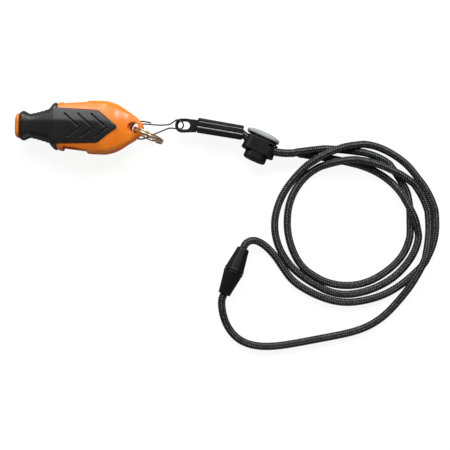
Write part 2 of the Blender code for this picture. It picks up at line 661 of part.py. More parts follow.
def lock_body():
    block = slab(LOCK_HALF_W - 0.3, LOCK_HALF_T, -BODY_TOP, -BODY_END, 3.2, 0.5)
    housing = slab(HOUSING_HALF_W, HOUSING_HALF_T, -BODY_END + 1.5, -HOUSING_END, 2.6, 1.1)
    flange = slab(LOCK_HALF_W + 0.05, LOCK_HALF_T, -BODY_END + 1.4, -BODY_END - 0.1, 3.4, 0.35)
    body = join(block, housing, flange)
    stem_way = slab(STEM_HALF_W + GAP, STEM_HALF_T + GAP, 0.0, -STEM_END - PRESS - GAP, 1.5, 0.1, 2)
    spring_way = skin([[(x, y, z) for x, z in circle(SPRING_R + 0.7, 16)]
                       for y in (-STEM_END, -HOUSING_END + 0.6)])
    cut(body, stem_way, spring_way)
    return cut(lock_place(body), cord_bore())


def lock_plunger():
    plate = slab(LOCK_HALF_W, LOCK_HALF_T, 0.0, -PLATE_END, 3.6, 0.5)
    dome = skin([[(across, y, up) for across, up in
                  rounded(LOCK_HALF_W - inset_w, LOCK_HALF_T - inset_t, radius)]
                 for y, inset_w, inset_t, radius in LOCK_DOME])
    stem = slab(STEM_HALF_W, STEM_HALF_T, -1.0, -STEM_END, 1.2, 0.2, 2)
    plunger = join(plate, dome, stem)
    cut(plunger, box(-12, 12, -7.4, -2.9, -PAIR_HALF_T, PAIR_HALF_T))
    # the second bore clears the cords when the plate is pressed
    return cut(lock_place(plunger), cord_bore(), cord_bore(towards_plate=PRESS))


def lock_spring():
    steps_per_turn = 12
    steps = SPRING_TURNS * steps_per_turn
    coil = []
    for i in range(steps + 1):
        angle = 2 * math.pi * i / steps_per_turn
        travel = i / steps * (SPRING_END - STEM_END - GAP - 2 * SPRING_WIRE)
        coil.append((SPRING_R * math.cos(angle), -STEM_END - GAP - SPRING_WIRE - travel,
                     SPRING_R * math.sin(angle)))
    return lock_place(tube(coil, SPRING_WIRE, 5))


# ---------------------------------------------------------------- breakaway barrel
# turned about X, with x = 0 at its middle, and then laid along its heading
BARREL_FROM, BARREL_TO = np.array((91.0, -63.7)), np.array((81.0, -89.0))
BARREL_R, BARREL_END_R, BARREL_Z = 5.5, 3.3, 5.6
BARREL_AXIS = BARREL_TO - BARREL_FROM
BARREL_HEADING = math.atan2(BARREL_AXIS[1], BARREL_AXIS[0])
BARREL_MID = (BARREL_FROM + BARREL_TO) / 2
BARREL_LEN = float(np.linalg.norm(BARREL_AXIS))
HALF = BARREL_LEN / 2
BORE_R, CHAMBER_R = 2.1, 3.35
NOSE_R, NOSE_BORE_R, NOSE = 3.0, 1.7, 5.0      # the plug's nose, and its reach past the middle
STOP_R, STOP_HALF_LEN, STOP_INSET = 3.0, 1.3, 5.0


def barrel_place(piece):
    return place(piece, BARREL_MID, BARREL_HEADING, BARREL_Z)


def barrel_half(side, inner):
    """One half: its outside from the end to the middle, the inner points, then its chamber."""
    outside = [
        (HALF, BORE_R), (HALF, BARREL_END_R - 0.4), (HALF - 0.4, BARREL_END_R),
        (HALF - 1.6, BARREL_END_R + 0.05), (HALF - 2.0, BARREL_END_R + 0.35),
        (HALF * 0.45, 4.75), (HALF * 0.12, BARREL_R), (GAP / 2 + 0.3, BARREL_R - 0.05),
        (GAP / 2, BARREL_R - 0.35),
    ]
    chamber = [(HALF - 3.4, CHAMBER_R), (HALF - 2.6, BORE_R)]
    profile = [(side * x, radius) for x, radius in outside + inner + chamber]
    return barrel_place(turned_ring(profile[::-side], 16))


def barrel_socket():
    return barrel_half(-1, [(GAP / 2, CHAMBER_R)])


def barrel_plug():
    return barrel_half(1, [
        (GAP / 2, NOSE_R), (-NOSE + 1.2, NOSE_R), (-NOSE + 0.5, NOSE_R), (-NOSE, NOSE_R - 0.4),
        (-NOSE, NOSE_BORE_R), (1.6, NOSE_BORE_R), (2.2, CHAMBER_R)])


def cord_stop(side):
    """The ring round a cord's end, in the -X or +X half of the barrel."""
    middle = side * (HALF - STOP_INSET)
    start, end = middle - STOP_HALF_LEN, middle + STOP_HALF_LEN
    profile = [(start, CORD_R + GAP), (start, STOP_R), (end, STOP_R), (end, CORD_R + GAP)]
    return barrel_place(turned_ring(profile, 12))


# ---------------------------------------------------------------- cords
def barrel_point(distance, z=BARREL_Z):
    """A point on the barrel's axis, measured from its middle."""
    return (*(BARREL_MID + BARREL_AXIS / BARREL_LEN * distance), z)


# guide points (x, y, z) of each cord, from the leader hinge round the coil to its barrel end
CORD_A = [
    LEADER_END_A, (126.4, -9.0, 5.4), (132.0, -7.8, 2.9), (137.5, -7.2, LOW),
    (146.0, -7.4, LOW), (154.4, -8.6, LOW), (162.7, -10.9, LOW), (169.9, -14.8, LOW),
    (174.4, -19.3, LOW), (177.8, -24.8, LOW), (180.4, -31.4, LOW), (182.3, -38.0, LOW),
    (183.0, -45.7, LOW), (182.2, -54.0, LOW), (179.4, -62.7, LOW), (174.6, -69.4, LOW),
    (167.2, -75.7, LOW), (158.6, -80.3, LOW), (149.3, -82.3, LOW), (140.0, -81.6, LOW),
    (131.2, -78.2, LOW), (124.0, -72.3, LOW), (119.2, -64.0, LOW), (116.0, -54.1, LOW),
    (115.3, -46.4, LOW), (116.2, -37.5, LOW), (119.6, -29.1, LOW), (125.4, -22.0, LOW),
    (132.4, -17.2, 2.2), (138.8, -14.6, 4.4), (145.8, -13.6, HIGH), (154.1, -13.9, HIGH),
    (162.3, -15.2, HIGH), (171.7, -18.2, HIGH), (180.7, -22.7, 4.0), (187.4, -28.6, LOW),
    (191.6, -36.3, LOW), (193.4, -45.4, LOW), (193.0, -55.5, 2.9), (190.6, -65.2, HIGH),
    (186.4, -74.6, HIGH), (181.2, -83.3, 4.4), (175.0, -91.5, LOW), (168.0, -98.7, LOW),
    TAIL_HINGE, (147.5, -108.6, LOW), (134.0, -111.6, LOW), (117.8, -115.0, LOW),
    (102.6, -116.6, LOW), (90.6, -113.6, LOW), (83.3, -106.0, 2.2), (80.3, -97.6, 4.2),
    barrel_point(HALF + 2.5, 5.35), barrel_point(HALF - 1.0), barrel_point(HALF - 6.6),
]
CORD_B = [
    LEADER_END_B, (126.8, -11.4, 2.1), (133.4, -12.4, LOW), (142.3, -13.8, LOW),
    (150.0, -15.1, LOW), (157.8, -17.3, LOW), (165.5, -20.9, LOW), (172.6, -26.3, 2.3),
    (177.3, -32.3, 4.6), (181.0, -38.8, HIGH), (184.3, -45.0, 4.8), (186.8, -52.3, LOW),
    (185.3, -61.2, LOW), (180.9, -69.2, LOW), (173.8, -76.9, LOW), (165.4, -82.3, LOW),
    (156.7, -85.7, LOW), (147.2, -87.2, LOW), (137.9, -85.7, LOW), (128.6, -81.0, LOW),
    (120.3, -74.6, LOW), (113.8, -66.5, LOW), (110.2, -57.7, LOW), (108.9, -48.8, LOW),
    (109.8, -40.4, LOW), (113.0, -31.6, LOW), (118.5, -23.7, 2.6), (124.8, -17.2, 4.4),
    (130.7, -12.6, HIGH), (137.5, -8.9, HIGH), (144.6, -6.6, HIGH), (153.0, -4.6, 3.6),
    (162.6, -5.4, LOW), (172.0, -8.9, LOW), (180.6, -14.9, LOW), (187.4, -23.2, LOW),
    (192.7, -31.4, LOW), (196.0, -41.0, LOW), (196.8, -50.9, LOW), (195.1, -59.8, LOW),
    (191.0, -67.8, LOW), (184.4, -75.2, LOW), (177.3, -81.3, LOW), (168.6, -86.6, LOW),
    (158.7, -90.0, LOW), (148.3, -91.5, LOW), (138.0, -90.2, LOW), (127.0, -85.3, LOW),
    (118.1, -78.8, LOW), (111.2, -69.6, LOW), (105.6, -62.9, LOW), (100.2, -59.3, 2.6),
    (95.3, -58.6, 4.2),
    barrel_point(-HALF - 2.3, 5.4), barrel_point(-HALF + 1.0), barrel_point(-HALF + 6.6),
]
CORD_STEP, CORD_SIDES = 3.6, 8
# how spread() works, counted in path points
SPREAD_ROUNDS = 160
FIXED_START, FIXED_END = 2, 14         # points held at each end
OWN_NEIGHBOURS = 12            # points this near along one cord don't push each other
SPREAD_STEP = STRAND_STEP + 0.06
SMOOTH_REACH, SMOOTH_SHARE = 9, 0.4    # window round a moved point, and strength of smoothing


def spread(paths):
    """Pushes the strands apart to about STRAND_STEP between centre lines; the ends stay."""
    sizes = [len(path) for path in paths]
    bounds = np.cumsum(sizes)[:-1]
    points = np.concatenate(paths)
    owner = np.repeat(np.arange(len(paths)), sizes)
    order = np.concatenate([np.arange(size) for size in sizes])
    fixed = np.concatenate([(np.arange(size) < FIXED_START) | (np.arange(size) >= size - FIXED_END)
                            for size in sizes])
    apart = ((owner[:, None] != owner[None, :])
             | (np.abs(order[:, None] - order[None, :]) > OWN_NEIGHBOURS))
    for _ in range(SPREAD_ROUNDS):
        offset = points[:, None, :] - points[None, :, :]
        far = np.sqrt((offset ** 2).sum(axis=2)) + 1e-9
        close = apart & (far < SPREAD_STEP)
        push = np.where(close, (SPREAD_STEP - far) / far, 0.0)[:, :, None] * offset
        move = 0.5 * push.sum(axis=1) / np.maximum(close.sum(axis=1), 1)[:, None]
        move[fixed] = 0
        points = points + move
        # each part is a view, so smoothing it changes points
        for part, part_move, part_fixed in zip(*(np.split(whole, bounds)
                                                 for whole in (points, move, fixed))):
            smooth = part.copy()
            smooth[1:-1] = 0.25 * part[:-2] + 0.5 * part[1:-1] + 0.25 * part[2:]
            moved = np.abs(part_move).sum(axis=1) > 1e-6
            near = np.convolve(moved.astype(float), np.ones(SMOOTH_REACH), "same") > 0
            near &= ~part_fixed
            part[near] = (1 - SMOOTH_SHARE) * part[near] + SMOOTH_SHARE * smooth[near]
        points[:, 2] = np.maximum(points[:, 2], LOW)
    return np.split(points, bounds)


def cord(path, end_gap=0.0, step=CORD_STEP, dome_start=True, dome_end=False):
    """A cord along a path. A domed start stands half a gap off the joint."""
    start_gap = GAP / 2 if dome_start else 0.0
    path = resample(shorten(path, start_gap, end_gap), step)
    return tube(path, CORD_R, CORD_SIDES, dome_start, dome_end)


# ---------------------------------------------------------------- build
finish(grip_sleeve(), "grip_sleeve", BLACK_SOFT, WHISTLE_HINGE)
finish(loft_x(CORE, WHISTLE_Z), "windway_insert", ORANGE, WHISTLE_HINGE)
finish(body_shell(1), "body_shell_front", ORANGE, WHISTLE_HINGE)
finish(body_shell(-1), "body_shell_back", ORANGE, WHISTLE_HINGE)

finish(split_ring(), "split_ring", NICKEL, RING_HINGE)
finish(wire(HOOK, 1.25), "snap_hook", STEEL, EYE_HINGE)
finish(wire(GATE, 1.6), "snap_gate", STEEL, GATE_HINGE)

finish(clamp_base(), "clamp_base", BLACK_HARD, LEADER_HINGE)
finish(clamp_lid(), "clamp_lid", BLACK_HARD, LEADER_HINGE)

finish(lock_body(), "lock_body", BLACK_HARD, LOCK_HINGE)
finish(lock_plunger(), "lock_plunger", GREY_HARD, LOCK_HINGE)
finish(lock_spring(), "lock_spring", STEEL, LOCK_HINGE)

finish(barrel_socket(), "barrel_socket", BLACK_HARD)
finish(barrel_plug(), "barrel_plug", BLACK_HARD, TAIL_HINGE)
finish(cord_stop(-1), "cord_stop_b", NICKEL)
finish(cord_stop(1), "cord_stop_a", NICKEL, TAIL_HINGE)

# cord A is in two pieces, parted at the path point nearest the tail hinge
path_a, path_b = spread([spline(CORD_A, 1.3), spline(CORD_B, 1.3)])
split = int(np.argmin(np.linalg.norm(path_a - np.array(TAIL_HINGE), axis=1)))
finish(cord(path_a[:split + 1], GAP / 2, dome_end=True), "cord_a_coil", CORD_BLACK)
finish(cord(path_a[split:], step=CORD_STEP * 0.9), "cord_a_tail", CORD_BLACK, path_a[split])
finish(cord(path_b), "cord_b_coil", CORD_BLACK)
for leader_name, leader in LEADERS.items():
    finish(cord(leader, GAP / 2, LEADER_STEP, dome_start=False, dome_end=True),
           leader_name, CORD_BLACK, LEADER_HINGE)
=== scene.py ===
"""Looks for the pealess whistle on its breakaway neck lanyard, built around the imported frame.

The helpers work in millimetres in the row frame, and each piece is scaled to metres when it is finished.
"""

import json
import math

import bmesh
import bpy
import numpy as np
from mathutils import Matrix, Vector

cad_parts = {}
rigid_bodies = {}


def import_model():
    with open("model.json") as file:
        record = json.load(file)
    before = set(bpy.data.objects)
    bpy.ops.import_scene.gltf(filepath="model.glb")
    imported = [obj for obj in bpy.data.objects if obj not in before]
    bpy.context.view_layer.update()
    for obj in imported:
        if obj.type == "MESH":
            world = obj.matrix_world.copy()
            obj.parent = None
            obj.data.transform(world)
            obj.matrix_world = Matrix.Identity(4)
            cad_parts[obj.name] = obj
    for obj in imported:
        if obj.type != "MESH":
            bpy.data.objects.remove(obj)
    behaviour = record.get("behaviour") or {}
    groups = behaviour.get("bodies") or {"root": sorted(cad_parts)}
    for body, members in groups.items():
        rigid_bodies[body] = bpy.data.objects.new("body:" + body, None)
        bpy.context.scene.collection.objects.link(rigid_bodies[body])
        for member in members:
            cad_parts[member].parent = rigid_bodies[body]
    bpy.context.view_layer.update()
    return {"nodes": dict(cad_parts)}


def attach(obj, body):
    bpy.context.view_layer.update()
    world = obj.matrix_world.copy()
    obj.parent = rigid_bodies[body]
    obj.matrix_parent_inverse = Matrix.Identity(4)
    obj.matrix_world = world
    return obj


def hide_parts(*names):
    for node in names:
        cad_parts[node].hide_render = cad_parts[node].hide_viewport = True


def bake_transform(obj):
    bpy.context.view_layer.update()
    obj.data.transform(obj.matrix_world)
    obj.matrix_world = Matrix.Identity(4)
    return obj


for old in list(bpy.data.objects):
    bpy.data.objects.remove(old, do_unlink=True)

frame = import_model()

# ---------------------------------------------------------------- dimensions, millimetres, as in the CAD
GAP = 0.3
SEAM = 0.07                    # the hairline left between pieces that are moulded together
WHISTLE_Z, PANEL_HALF_T, POCKET_T, CAVITY_T, WALL = 8.8, 8.8, 6.6, 5.3, 1.8
WINDOW_X = (-8.6, 4.5)
HOLE_X, HOLE_R = 29.0, 2.9
CHEVRON_APEX = (-0.6, 6.7, 14.0)
BACK_CHEVRONS = -3.3
CHEVRON_D = 0.75
CREASE_UP, CREASE_DOWN = 0.17, 0.155
RING_OUTER_R, RING_RADIAL, RING_AXIAL = 9.0, 1.5, 1.15
RING_HEADING = math.radians(-23.4)
RING_FAR, RING_Z = (45.6, -7.2), 9.2
WIRE_R = 0.4
LINK_Z = 5.4
CLAMP_FROM, CLAMP_TO = (64.0, 3.3), (89.15, -0.3)
CLAMP_HALF_W, CLAMP_HALF_T = 3.6, 5.1
EYE_CENTRE, EYE_HEADING = (56.7, 2.95), math.radians(1.5)
EYE_LEFT, EYE_RIGHT, EYE_HALF_W, EYE_HALF_T = -4.95, 8.4, 3.8, 1.0
EYE_HOLE = (3.25, 2.3)
CORD_R, STRAND_STEP = 1.75, 3.8
SLIDE_C, SLIDE_R = (113.1, 22.7), 33.6
LOCK_O, LOCK_HEADING = (100.85, -2.2), math.radians(-23.0)
LOCK_HALF_W, LOCK_HALF_T = 9.3, 5.35
PUSH_PLATE, BODY_TOP, BODY_END, HOUSING_END = 2.3, 3.7, 9.9, 14.4
HOUSING_HALF_W, HOUSING_HALF_T = 5.9, 4.8
STEM_HALF_W, STEM_HALF_T, STEM_END = 5.0, 4.5, 9.5
SPRING_R, SPRING_WIRE, SPRING_TURNS, SPRING_END = 2.9, 0.28, 4, 12.45
PRESS = 1.2
BARREL_A, BARREL_B = (91.0, -63.7), (81.0, -89.0)
BARREL_R, BARREL_END_R, BARREL_Z = 5.5, 3.3, 5.6


# ---------------------------------------------------------------- mesh helpers
def mesh_of(points, faces):
    mesh = bpy.data.meshes.new("work")
    mesh.from_pydata([tuple(map(float, p)) for p in points], [], [tuple(f) for f in faces])
    made = bmesh.new()
    made.from_mesh(mesh)
    bmesh.ops.remove_doubles(made, verts=made.verts, dist=1e-5)
    bmesh.ops.recalc_face_normals(made, faces=made.faces)
    made.to_mesh(mesh)
    made.free()
    obj = bpy.data.objects.new("work", mesh)
    bpy.context.scene.collection.objects.link(obj)
    return obj


def applied(obj):
    """The object with its modifiers applied."""
    bpy.context.view_layer.update()
    graph = bpy.context.evaluated_depsgraph_get()
    made = bpy.data.meshes.new_from_object(obj.evaluated_get(graph))
    obj.modifiers.clear()
    obj.data = made
    return obj


def combine(first, operation, *others):
    for other in others:
        modifier = first.modifiers.new("b", "BOOLEAN")
        modifier.operation = operation
        modifier.solver = "EXACT"
        modifier.object = other
        applied(first)
        bpy.data.objects.remove(other, do_unlink=True)
    return first


def cut(first, *others):
    return combine(first, "DIFFERENCE", *others)


def join(first, *others):
    return combine(first, "UNION", *others)


def meet(first, *others):
    return combine(first, "INTERSECT", *others)


def copy_of(obj):
    made = bpy.data.objects.new("work", obj.data.copy())
    bpy.context.scene.collection.objects.link(made)
    return made


def moulded(obj, voxel, rounds=4, factor=0.5):
    """An even skin over the shape, with every edge rounded a little, as moulding leaves it."""
    remesh = obj.modifiers.new("r", "REMESH")
    remesh.mode = "VOXEL"
    remesh.voxel_size = voxel
    remesh.use_smooth_shade = True
    smooth = obj.modifiers.new("s", "SMOOTH")
    smooth.factor = factor
    smooth.iterations = rounds
    return applied(obj)


def coords(obj):
    points = np.empty(len(obj.data.vertices) * 3, np.float32)
    obj.data.vertices.foreach_get("co", points)
    return points.reshape(-1, 3).astype(np.float64)


def set_coords(obj, points):
    obj.data.vertices.foreach_set("co", np.asarray(points, np.float32).reshape(-1))
    obj.data.update()


def piece(obj, name, mat, smooth=True):
    """Scales the piece to metres, names it and gives it its material."""
    set_coords(obj, coords(obj) * 0.001)
    obj.name = name
    obj.data.name = name
    obj.data.materials.clear()
    obj.data.materials.append(mat)
    if smooth:
        obj.data.polygons.foreach_set("use_smooth", [True] * len(obj.data.polygons))
    return obj


def skin(rings):
    rings = [np.asarray(r, float) for r in rings]
    size = len(rings[0])
    faces = []
    for i in range(len(rings) - 1):
        for j in range(size):
            k = (j + 1) % size
            faces.append((i * size + j, i * size + k, (i + 1) * size + k, (i + 1) * size + j))
    faces.append(tuple(range(size))[::-1])
    faces.append(tuple((len(rings) - 1) * size + j for j in range(size)))
    return mesh_of(np.concatenate(rings), faces)


def rounded(half_w, half_h, radius, steps=8):
    radius = max(0.02, min(radius, half_w * 0.98, half_h * 0.98))
    out = []
    for quarter, (sx, sy) in enumerate(((1, 1), (-1, 1), (-1, -1), (1, -1))):
        for i in range(steps + 1):
            angle = math.pi / 2 * (quarter + i / steps)
            out.append((sx * (half_w - radius) + radius * math.cos(angle),
                        sy * (half_h - radius) + radius * math.sin(angle)))
    return out


def filled(table, step):
    """The table's stations with more between them, on a curve that doesn't overshoot."""
    table = np.asarray(table, float)
    x = table[:, 0]
    grid = [g for g in np.arange(x[0], x[-1], step) if np.abs(x - g).min() > step * 0.3]
    want = np.sort(np.concatenate([x, grid]))
    out = [want]
    h = np.diff(x)
    index = np.clip(np.searchsorted(x, want, side="right") - 1, 0, len(x) - 2)
    for column in table[:, 1:].T:
        d = np.diff(column) / h
        m = np.empty(len(x))
        m[0], m[-1] = d[0], d[-1]
        for i in range(1, len(x) - 1):
            if d[i - 1] * d[i] <= 0:
                m[i] = 0
            else:
                w1, w2 = 2 * h[i] + h[i - 1], h[i] + 2 * h[i - 1]
                m[i] = (w1 + w2) / (w1 / d[i - 1] + w2 / d[i])
        s = (want - x[index]) / h[index]
        out.append((1 + 2 * s) * (1 - s) ** 2 * column[index] + s * (1 - s) ** 2 * h[index] * m[index]
                   + s * s * (3 - 2 * s) * column[index + 1] + s * s * (s - 1) * h[index] * m[index + 1])
    return np.stack(out, axis=1)


def loft_x(stations, z0=0.0, steps=8):
    return skin([[(x, u, z0 + v) for u, v in rounded(a, b, r, steps)] for x, a, b, r in stations])


def box(x0, x1, y0, y1, z0, z1):
    points = [(x, y, z) for z in (z0, z1) for y in (y0, y1) for x in (x0, x1)]
    return mesh_of(points, [(0, 2, 3, 1), (4, 5, 7, 6), (0, 1, 5, 4), (2, 6, 7, 3), (0, 4, 6, 2), (1, 3, 7, 5)])


def prism(outline, z0, z1):
    return skin([[(x, y, z) for x, y in outline] for z in (z0, z1)])


def revolve(profile, sides, start=0.0):
    return skin([[(t, r * math.cos(start + 2 * math.pi * i / sides), r * math.sin(start + 2 * math.pi * i / sides))
                  for i in range(sides)] for t, r in profile])


def turned_ring(profile, sides, shape=None):
    """A closed (t, r) loop turned about X. shape(angle, t) scales the radius."""
    size = len(profile)
    points = []
    for i in range(sides):
        angle = 2 * math.pi * i / sides
        for t, r in profile:
            k = shape(angle, t, r) if shape else 1.0
            points.append((t, k * r * math.cos(angle), k * r * math.sin(angle)))
    faces = []
    for i in range(sides):
        n = (i + 1) % sides
        for j in range(size):
            k = (j + 1) % size
            faces.append((i * size + j, i * size + k, n * size + k, n * size + j))
    return mesh_of(points, faces)


def place(obj, position, heading, z=0.0):
    c, s = math.cos(heading), math.sin(heading)
    turned = coords(obj) @ np.array([[c, s, 0], [-s, c, 0], [0, 0, 1.0]])
    set_coords(obj, turned + np.array([position[0], position[1], z]))
    return obj


def frames(path):
    path = np.asarray(path, float)
    tangents = np.gradient(path, axis=0)
    tangents /= np.linalg.norm(tangents, axis=1)[:, None]
    up = np.array([0.0, 0.0, 1.0])
    if abs(tangents[0] @ up) > 0.9:
        up = np.array([1.0, 0.0, 0.0])
    normal = np.cross(tangents[0], up)
    normal /= np.linalg.norm(normal)
    out = []
    for t in tangents:
        normal = normal - t * (normal @ t)
        normal /= np.linalg.norm(normal)
        out.append((t, normal, np.cross(t, normal)))
    return out


def tube(path, radius, sides, dome_start=False, dome_end=False):
    """A round wire along a path, each end flat or domed."""
    path = np.asarray(path, float)
    axes = frames(path)
    rings = []

    def ring(centre, axis, r):
        _, n, b = axis
        return [centre + r * (math.cos(2 * math.pi * i / sides) * n + math.sin(2 * math.pi * i / sides) * b)
                for i in range(sides)]

    domes = [math.sin(math.radians(a)) for a in (84, 66, 45, 22)]
    if dome_start:
        for share in domes:
            rings.append(ring(path[0] - axes[0][0] * radius * share, axes[0], radius * math.sqrt(1 - share * share)))
    for centre, axis in zip(path, axes):
        rings.append(ring(centre, axis, radius))
    if dome_end:
        for share in domes[::-1]:
            rings.append(ring(path[-1] + axes[-1][0] * radius * share, axes[-1], radius * math.sqrt(1 - share * share)))
    return skin(rings)


def resample(path, step):
    path = np.asarray(path, float)
    along = np.concatenate([[0], np.cumsum(np.linalg.norm(np.diff(path, axis=0), axis=1))])
    count = max(2, int(round(along[-1] / step)) + 1)
    at = np.linspace(0, along[-1], count)
    return np.stack([np.interp(at, along, path[:, k]) for k in range(path.shape[1])], axis=1)


def spline(guides, step, fineness=40):
    """A natural cubic through guide points, sampled about every step."""
    guides = np.asarray(guides, float)
    chord = np.concatenate([[0], np.cumsum(np.linalg.norm(np.diff(guides, axis=0), axis=1) ** 0.75)])
    n = len(guides)
    h = np.diff(chord)
    system = np.zeros((n, n))
    right = np.zeros((n, guides.shape[1]))
    system[0, 0] = system[-1, -1] = 1
    for i in range(1, n - 1):
        system[i, i - 1], system[i, i], system[i, i + 1] = h[i - 1], 2 * (h[i - 1] + h[i]), h[i]
        right[i] = 6 * ((guides[i + 1] - guides[i]) / h[i] - (guides[i] - guides[i - 1]) / h[i - 1])
    bend = np.linalg.solve(system, right)
    s = np.linspace(0, chord[-1], fineness * n)
    i = np.clip(np.searchsorted(chord, s) - 1, 0, n - 2)
    a, b, hi = (chord[i + 1] - s)[:, None], (s - chord[i])[:, None], h[i][:, None]
    fine = (bend[i] * a ** 3 + bend[i + 1] * b ** 3) / (6 * hi) + \
        (guides[i] / hi - bend[i] * hi / 6) * a + (guides[i + 1] / hi - bend[i + 1] * hi / 6) * b
    return resample(fine, step)


# ---------------------------------------------------------------- materials
class Nodes:
    """A short way to write a node tree: each call adds a node and returns its first output."""

    def __init__(self, name):
        self.mat = bpy.data.materials.new(name)
        self.mat.use_nodes = True
        self.tree = self.mat.node_tree
        self.shader = self.tree.nodes["Principled BSDF"]

    def put(self, socket, value):
        if isinstance(value, bpy.types.NodeSocket):
            self.tree.links.new(value, socket)
        else:
            socket.default_value = value

    def add(self, kind, out=0, settings=None, **inputs):
        node = self.tree.nodes.new(kind)
        for key, value in (settings or {}).items():
            setattr(node, key, value)
        for key, value in inputs.items():
            self.put(node.inputs[key.replace("_", " ")], value)
        return node.outputs[out]

    def where(self):
        return self.add("ShaderNodeTexCoord", 3)

    def stretched(self, vector, x, y, z):
        return self.add("ShaderNodeMapping", 0, None, Vector=vector, Scale=(x, y, z))

    def noise(self, vector, scale, detail=3.0, rough=0.5):
        return self.add("ShaderNodeTexNoise", 0, None, Vector=vector, Scale=scale, Detail=detail, Roughness=rough)

    def cells(self, vector, scale):
        return self.add("ShaderNodeTexVoronoi", 0, None, Vector=vector, Scale=scale)

    def ramp(self, value, *stops):
        node = self.tree.nodes.new("ShaderNodeValToRGB")
        while len(node.color_ramp.elements) < len(stops):
            node.color_ramp.elements.new(0.5)
        for element, (at, colour) in zip(node.color_ramp.elements, stops):
            element.position = at
            element.color = colour if isinstance(colour, tuple) else (colour, colour, colour, 1)
        self.put(node.inputs[0], value)
        return node.outputs[0]

    def span(self, value, low, high, to_low, to_high):
        return self.add("ShaderNodeMapRange", 0, None, Value=value, From_Min=low, From_Max=high, To_Min=to_low, To_Max=to_high)

    def maths(self, operation, a, b=0.0):
        node = self.tree.nodes.new("ShaderNodeMath")
        node.operation = operation
        self.put(node.inputs[0], a)
        self.put(node.inputs[1], b)
        return node.outputs[0]

    def blend(self, share, a, b, mode="MIX"):
        node = self.tree.nodes.new("ShaderNodeMix")
        node.data_type = "RGBA"
        node.blend_type = mode
        self.put(node.inputs[0], share)
        self.put(node.inputs[6], a)
        self.put(node.inputs[7], b)
        return node.outputs[2]

    def bump(self, height, distance, strength=1.0, normal=None):
        node = self.tree.nodes.new("ShaderNodeBump")
        node.inputs["Distance"].default_value = distance
        node.inputs["Strength"].default_value = strength
        self.put(node.inputs["Height"], height)
        if normal is not None:
            self.put(node.inputs["Normal"], normal)
        return node.outputs[0]

    def surface(self, **inputs):
        for key, value in inputs.items():
            self.put(self.shader.inputs[key.replace("_", " ")], value)
        return self.mat


def orange_plastic():
    n = Nodes("orange_plastic")
    at = n.where()
    flow = n.noise(n.stretched(at, 0.35, 1, 1), 90, 3)
    speck = n.noise(at, 2600, 2)
    edge = n.add("ShaderNodeNewGeometry", 7)
    colour = n.ramp(flow, (0.3, (0.83, 0.195, 0.012, 1)), (0.7, (0.90, 0.23, 0.018, 1)))
    colour = n.blend(n.span(speck, 0.35, 0.65, 0.0, 0.06), colour, (0.98, 0.36, 0.06, 1))
    colour = n.blend(n.span(edge, 0.55, 0.64, 0.0, 0.18), colour, (1.0, 0.42, 0.09, 1))
    rough = n.span(n.noise(at, 700, 4), 0.3, 0.7, 0.26, 0.34)
    normal = n.bump(n.noise(at, 1500, 3), 0.00003, 0.35)
    return n.surface(Base_Color=colour, Roughness=rough, Normal=normal, IOR=1.46, Specular_IOR_Level=0.42,
                     Subsurface_Weight=0.04, Subsurface_Radius=(0.002, 0.0008, 0.0003), Subsurface_Scale=1.0)


def soft_grip():
    n = Nodes("black_soft_grip")
    at = n.where()
    grain = n.cells(at, 3200)
    patch = n.noise(at, 160, 4)
    edge = n.add("ShaderNodeNewGeometry", 7)
    colour = n.ramp(patch, (0.3, 0.0022), (0.7, 0.0042))
    colour = n.blend(n.span(edge, 0.54, 0.64, 0.0, 0.25), colour, (0.02, 0.02, 0.021, 1))
    rough = n.span(n.noise(at, 900, 3), 0.3, 0.7, 0.41, 0.49)
    normal = n.bump(grain, 0.00003, 0.35, n.bump(n.noise(at, 5200, 2), 0.00002, 0.3))
    return n.surface(Base_Color=colour, Roughness=rough, Normal=normal, Specular_IOR_Level=0.6)


def hard_plastic():
    n = Nodes("black_plastic")
    at = n.where()
    edge = n.add("ShaderNodeNewGeometry", 7)
    colour = n.ramp(n.noise(at, 220, 3), (0.3, 0.003), (0.7, 0.006))
    colour = n.blend(n.span(edge, 0.55, 0.64, 0.0, 0.18), colour, (0.035, 0.035, 0.037, 1))
    scuff = n.noise(n.stretched(at, 1, 0.15, 1), 1400, 3)
    rough = n.span(scuff, 0.3, 0.7, 0.4, 0.52)
    normal = n.bump(n.noise(at, 2600, 3), 0.00002, 0.35)
    return n.surface(Base_Color=colour, Roughness=rough, Normal=normal, Specular_IOR_Level=0.26)


def plate_painted_reflection():
    # Painted reflection: the push plate is glossy black plastic, and this pale grey base colour stands in for the
    # bright studio reflection seen on it.
    n = Nodes("plate_with_painted_reflection")
    at = n.where()
    colour = n.ramp(n.noise(at, 260, 3), (0.3, (0.27, 0.272, 0.275, 1)), (0.7, (0.33, 0.332, 0.336, 1)))
    rough = n.span(n.noise(at, 1100, 3), 0.3, 0.7, 0.3, 0.42)
    return n.surface(Base_Color=colour, Roughness=rough, Normal=n.bump(n.noise(at, 2600, 3), 0.00002, 0.3), IOR=1.48)


def painted_highlight_trim():
    # Painted highlight: a pale, partly metallic strip colour that stands in for the light lines seen along the clamp's
    # edges.
    n = Nodes("painted_highlight_trim")
    at = n.where()
    drawn = n.noise(n.stretched(at, 0.2, 1, 1), 2200, 3)
    colour = n.ramp(n.noise(at, 300, 3), (0.3, 0.30), (0.7, 0.40))
    return n.surface(Base_Color=colour, Metallic=0.3, Roughness=n.span(drawn, 0.3, 0.7, 0.3, 0.45), Normal=n.bump(drawn, 0.00001, 0.4))


def nickel_steel():
    n = Nodes("nickel_steel")
    at = n.where()
    drawn = n.noise(n.stretched(at, 0.3, 0.3, 1), 2400, 4)
    cloud = n.noise(at, 260, 3)
    colour = n.ramp(cloud, (0.3, (0.56, 0.42, 0.29, 1)), (0.7, (0.72, 0.58, 0.43, 1)))
    rough = n.span(drawn, 0.3, 0.7, 0.26, 0.38)
    normal = n.bump(drawn, 0.00001, 0.3)
    return n.surface(Base_Color=colour, Metallic=1.0, Roughness=rough, Normal=normal)


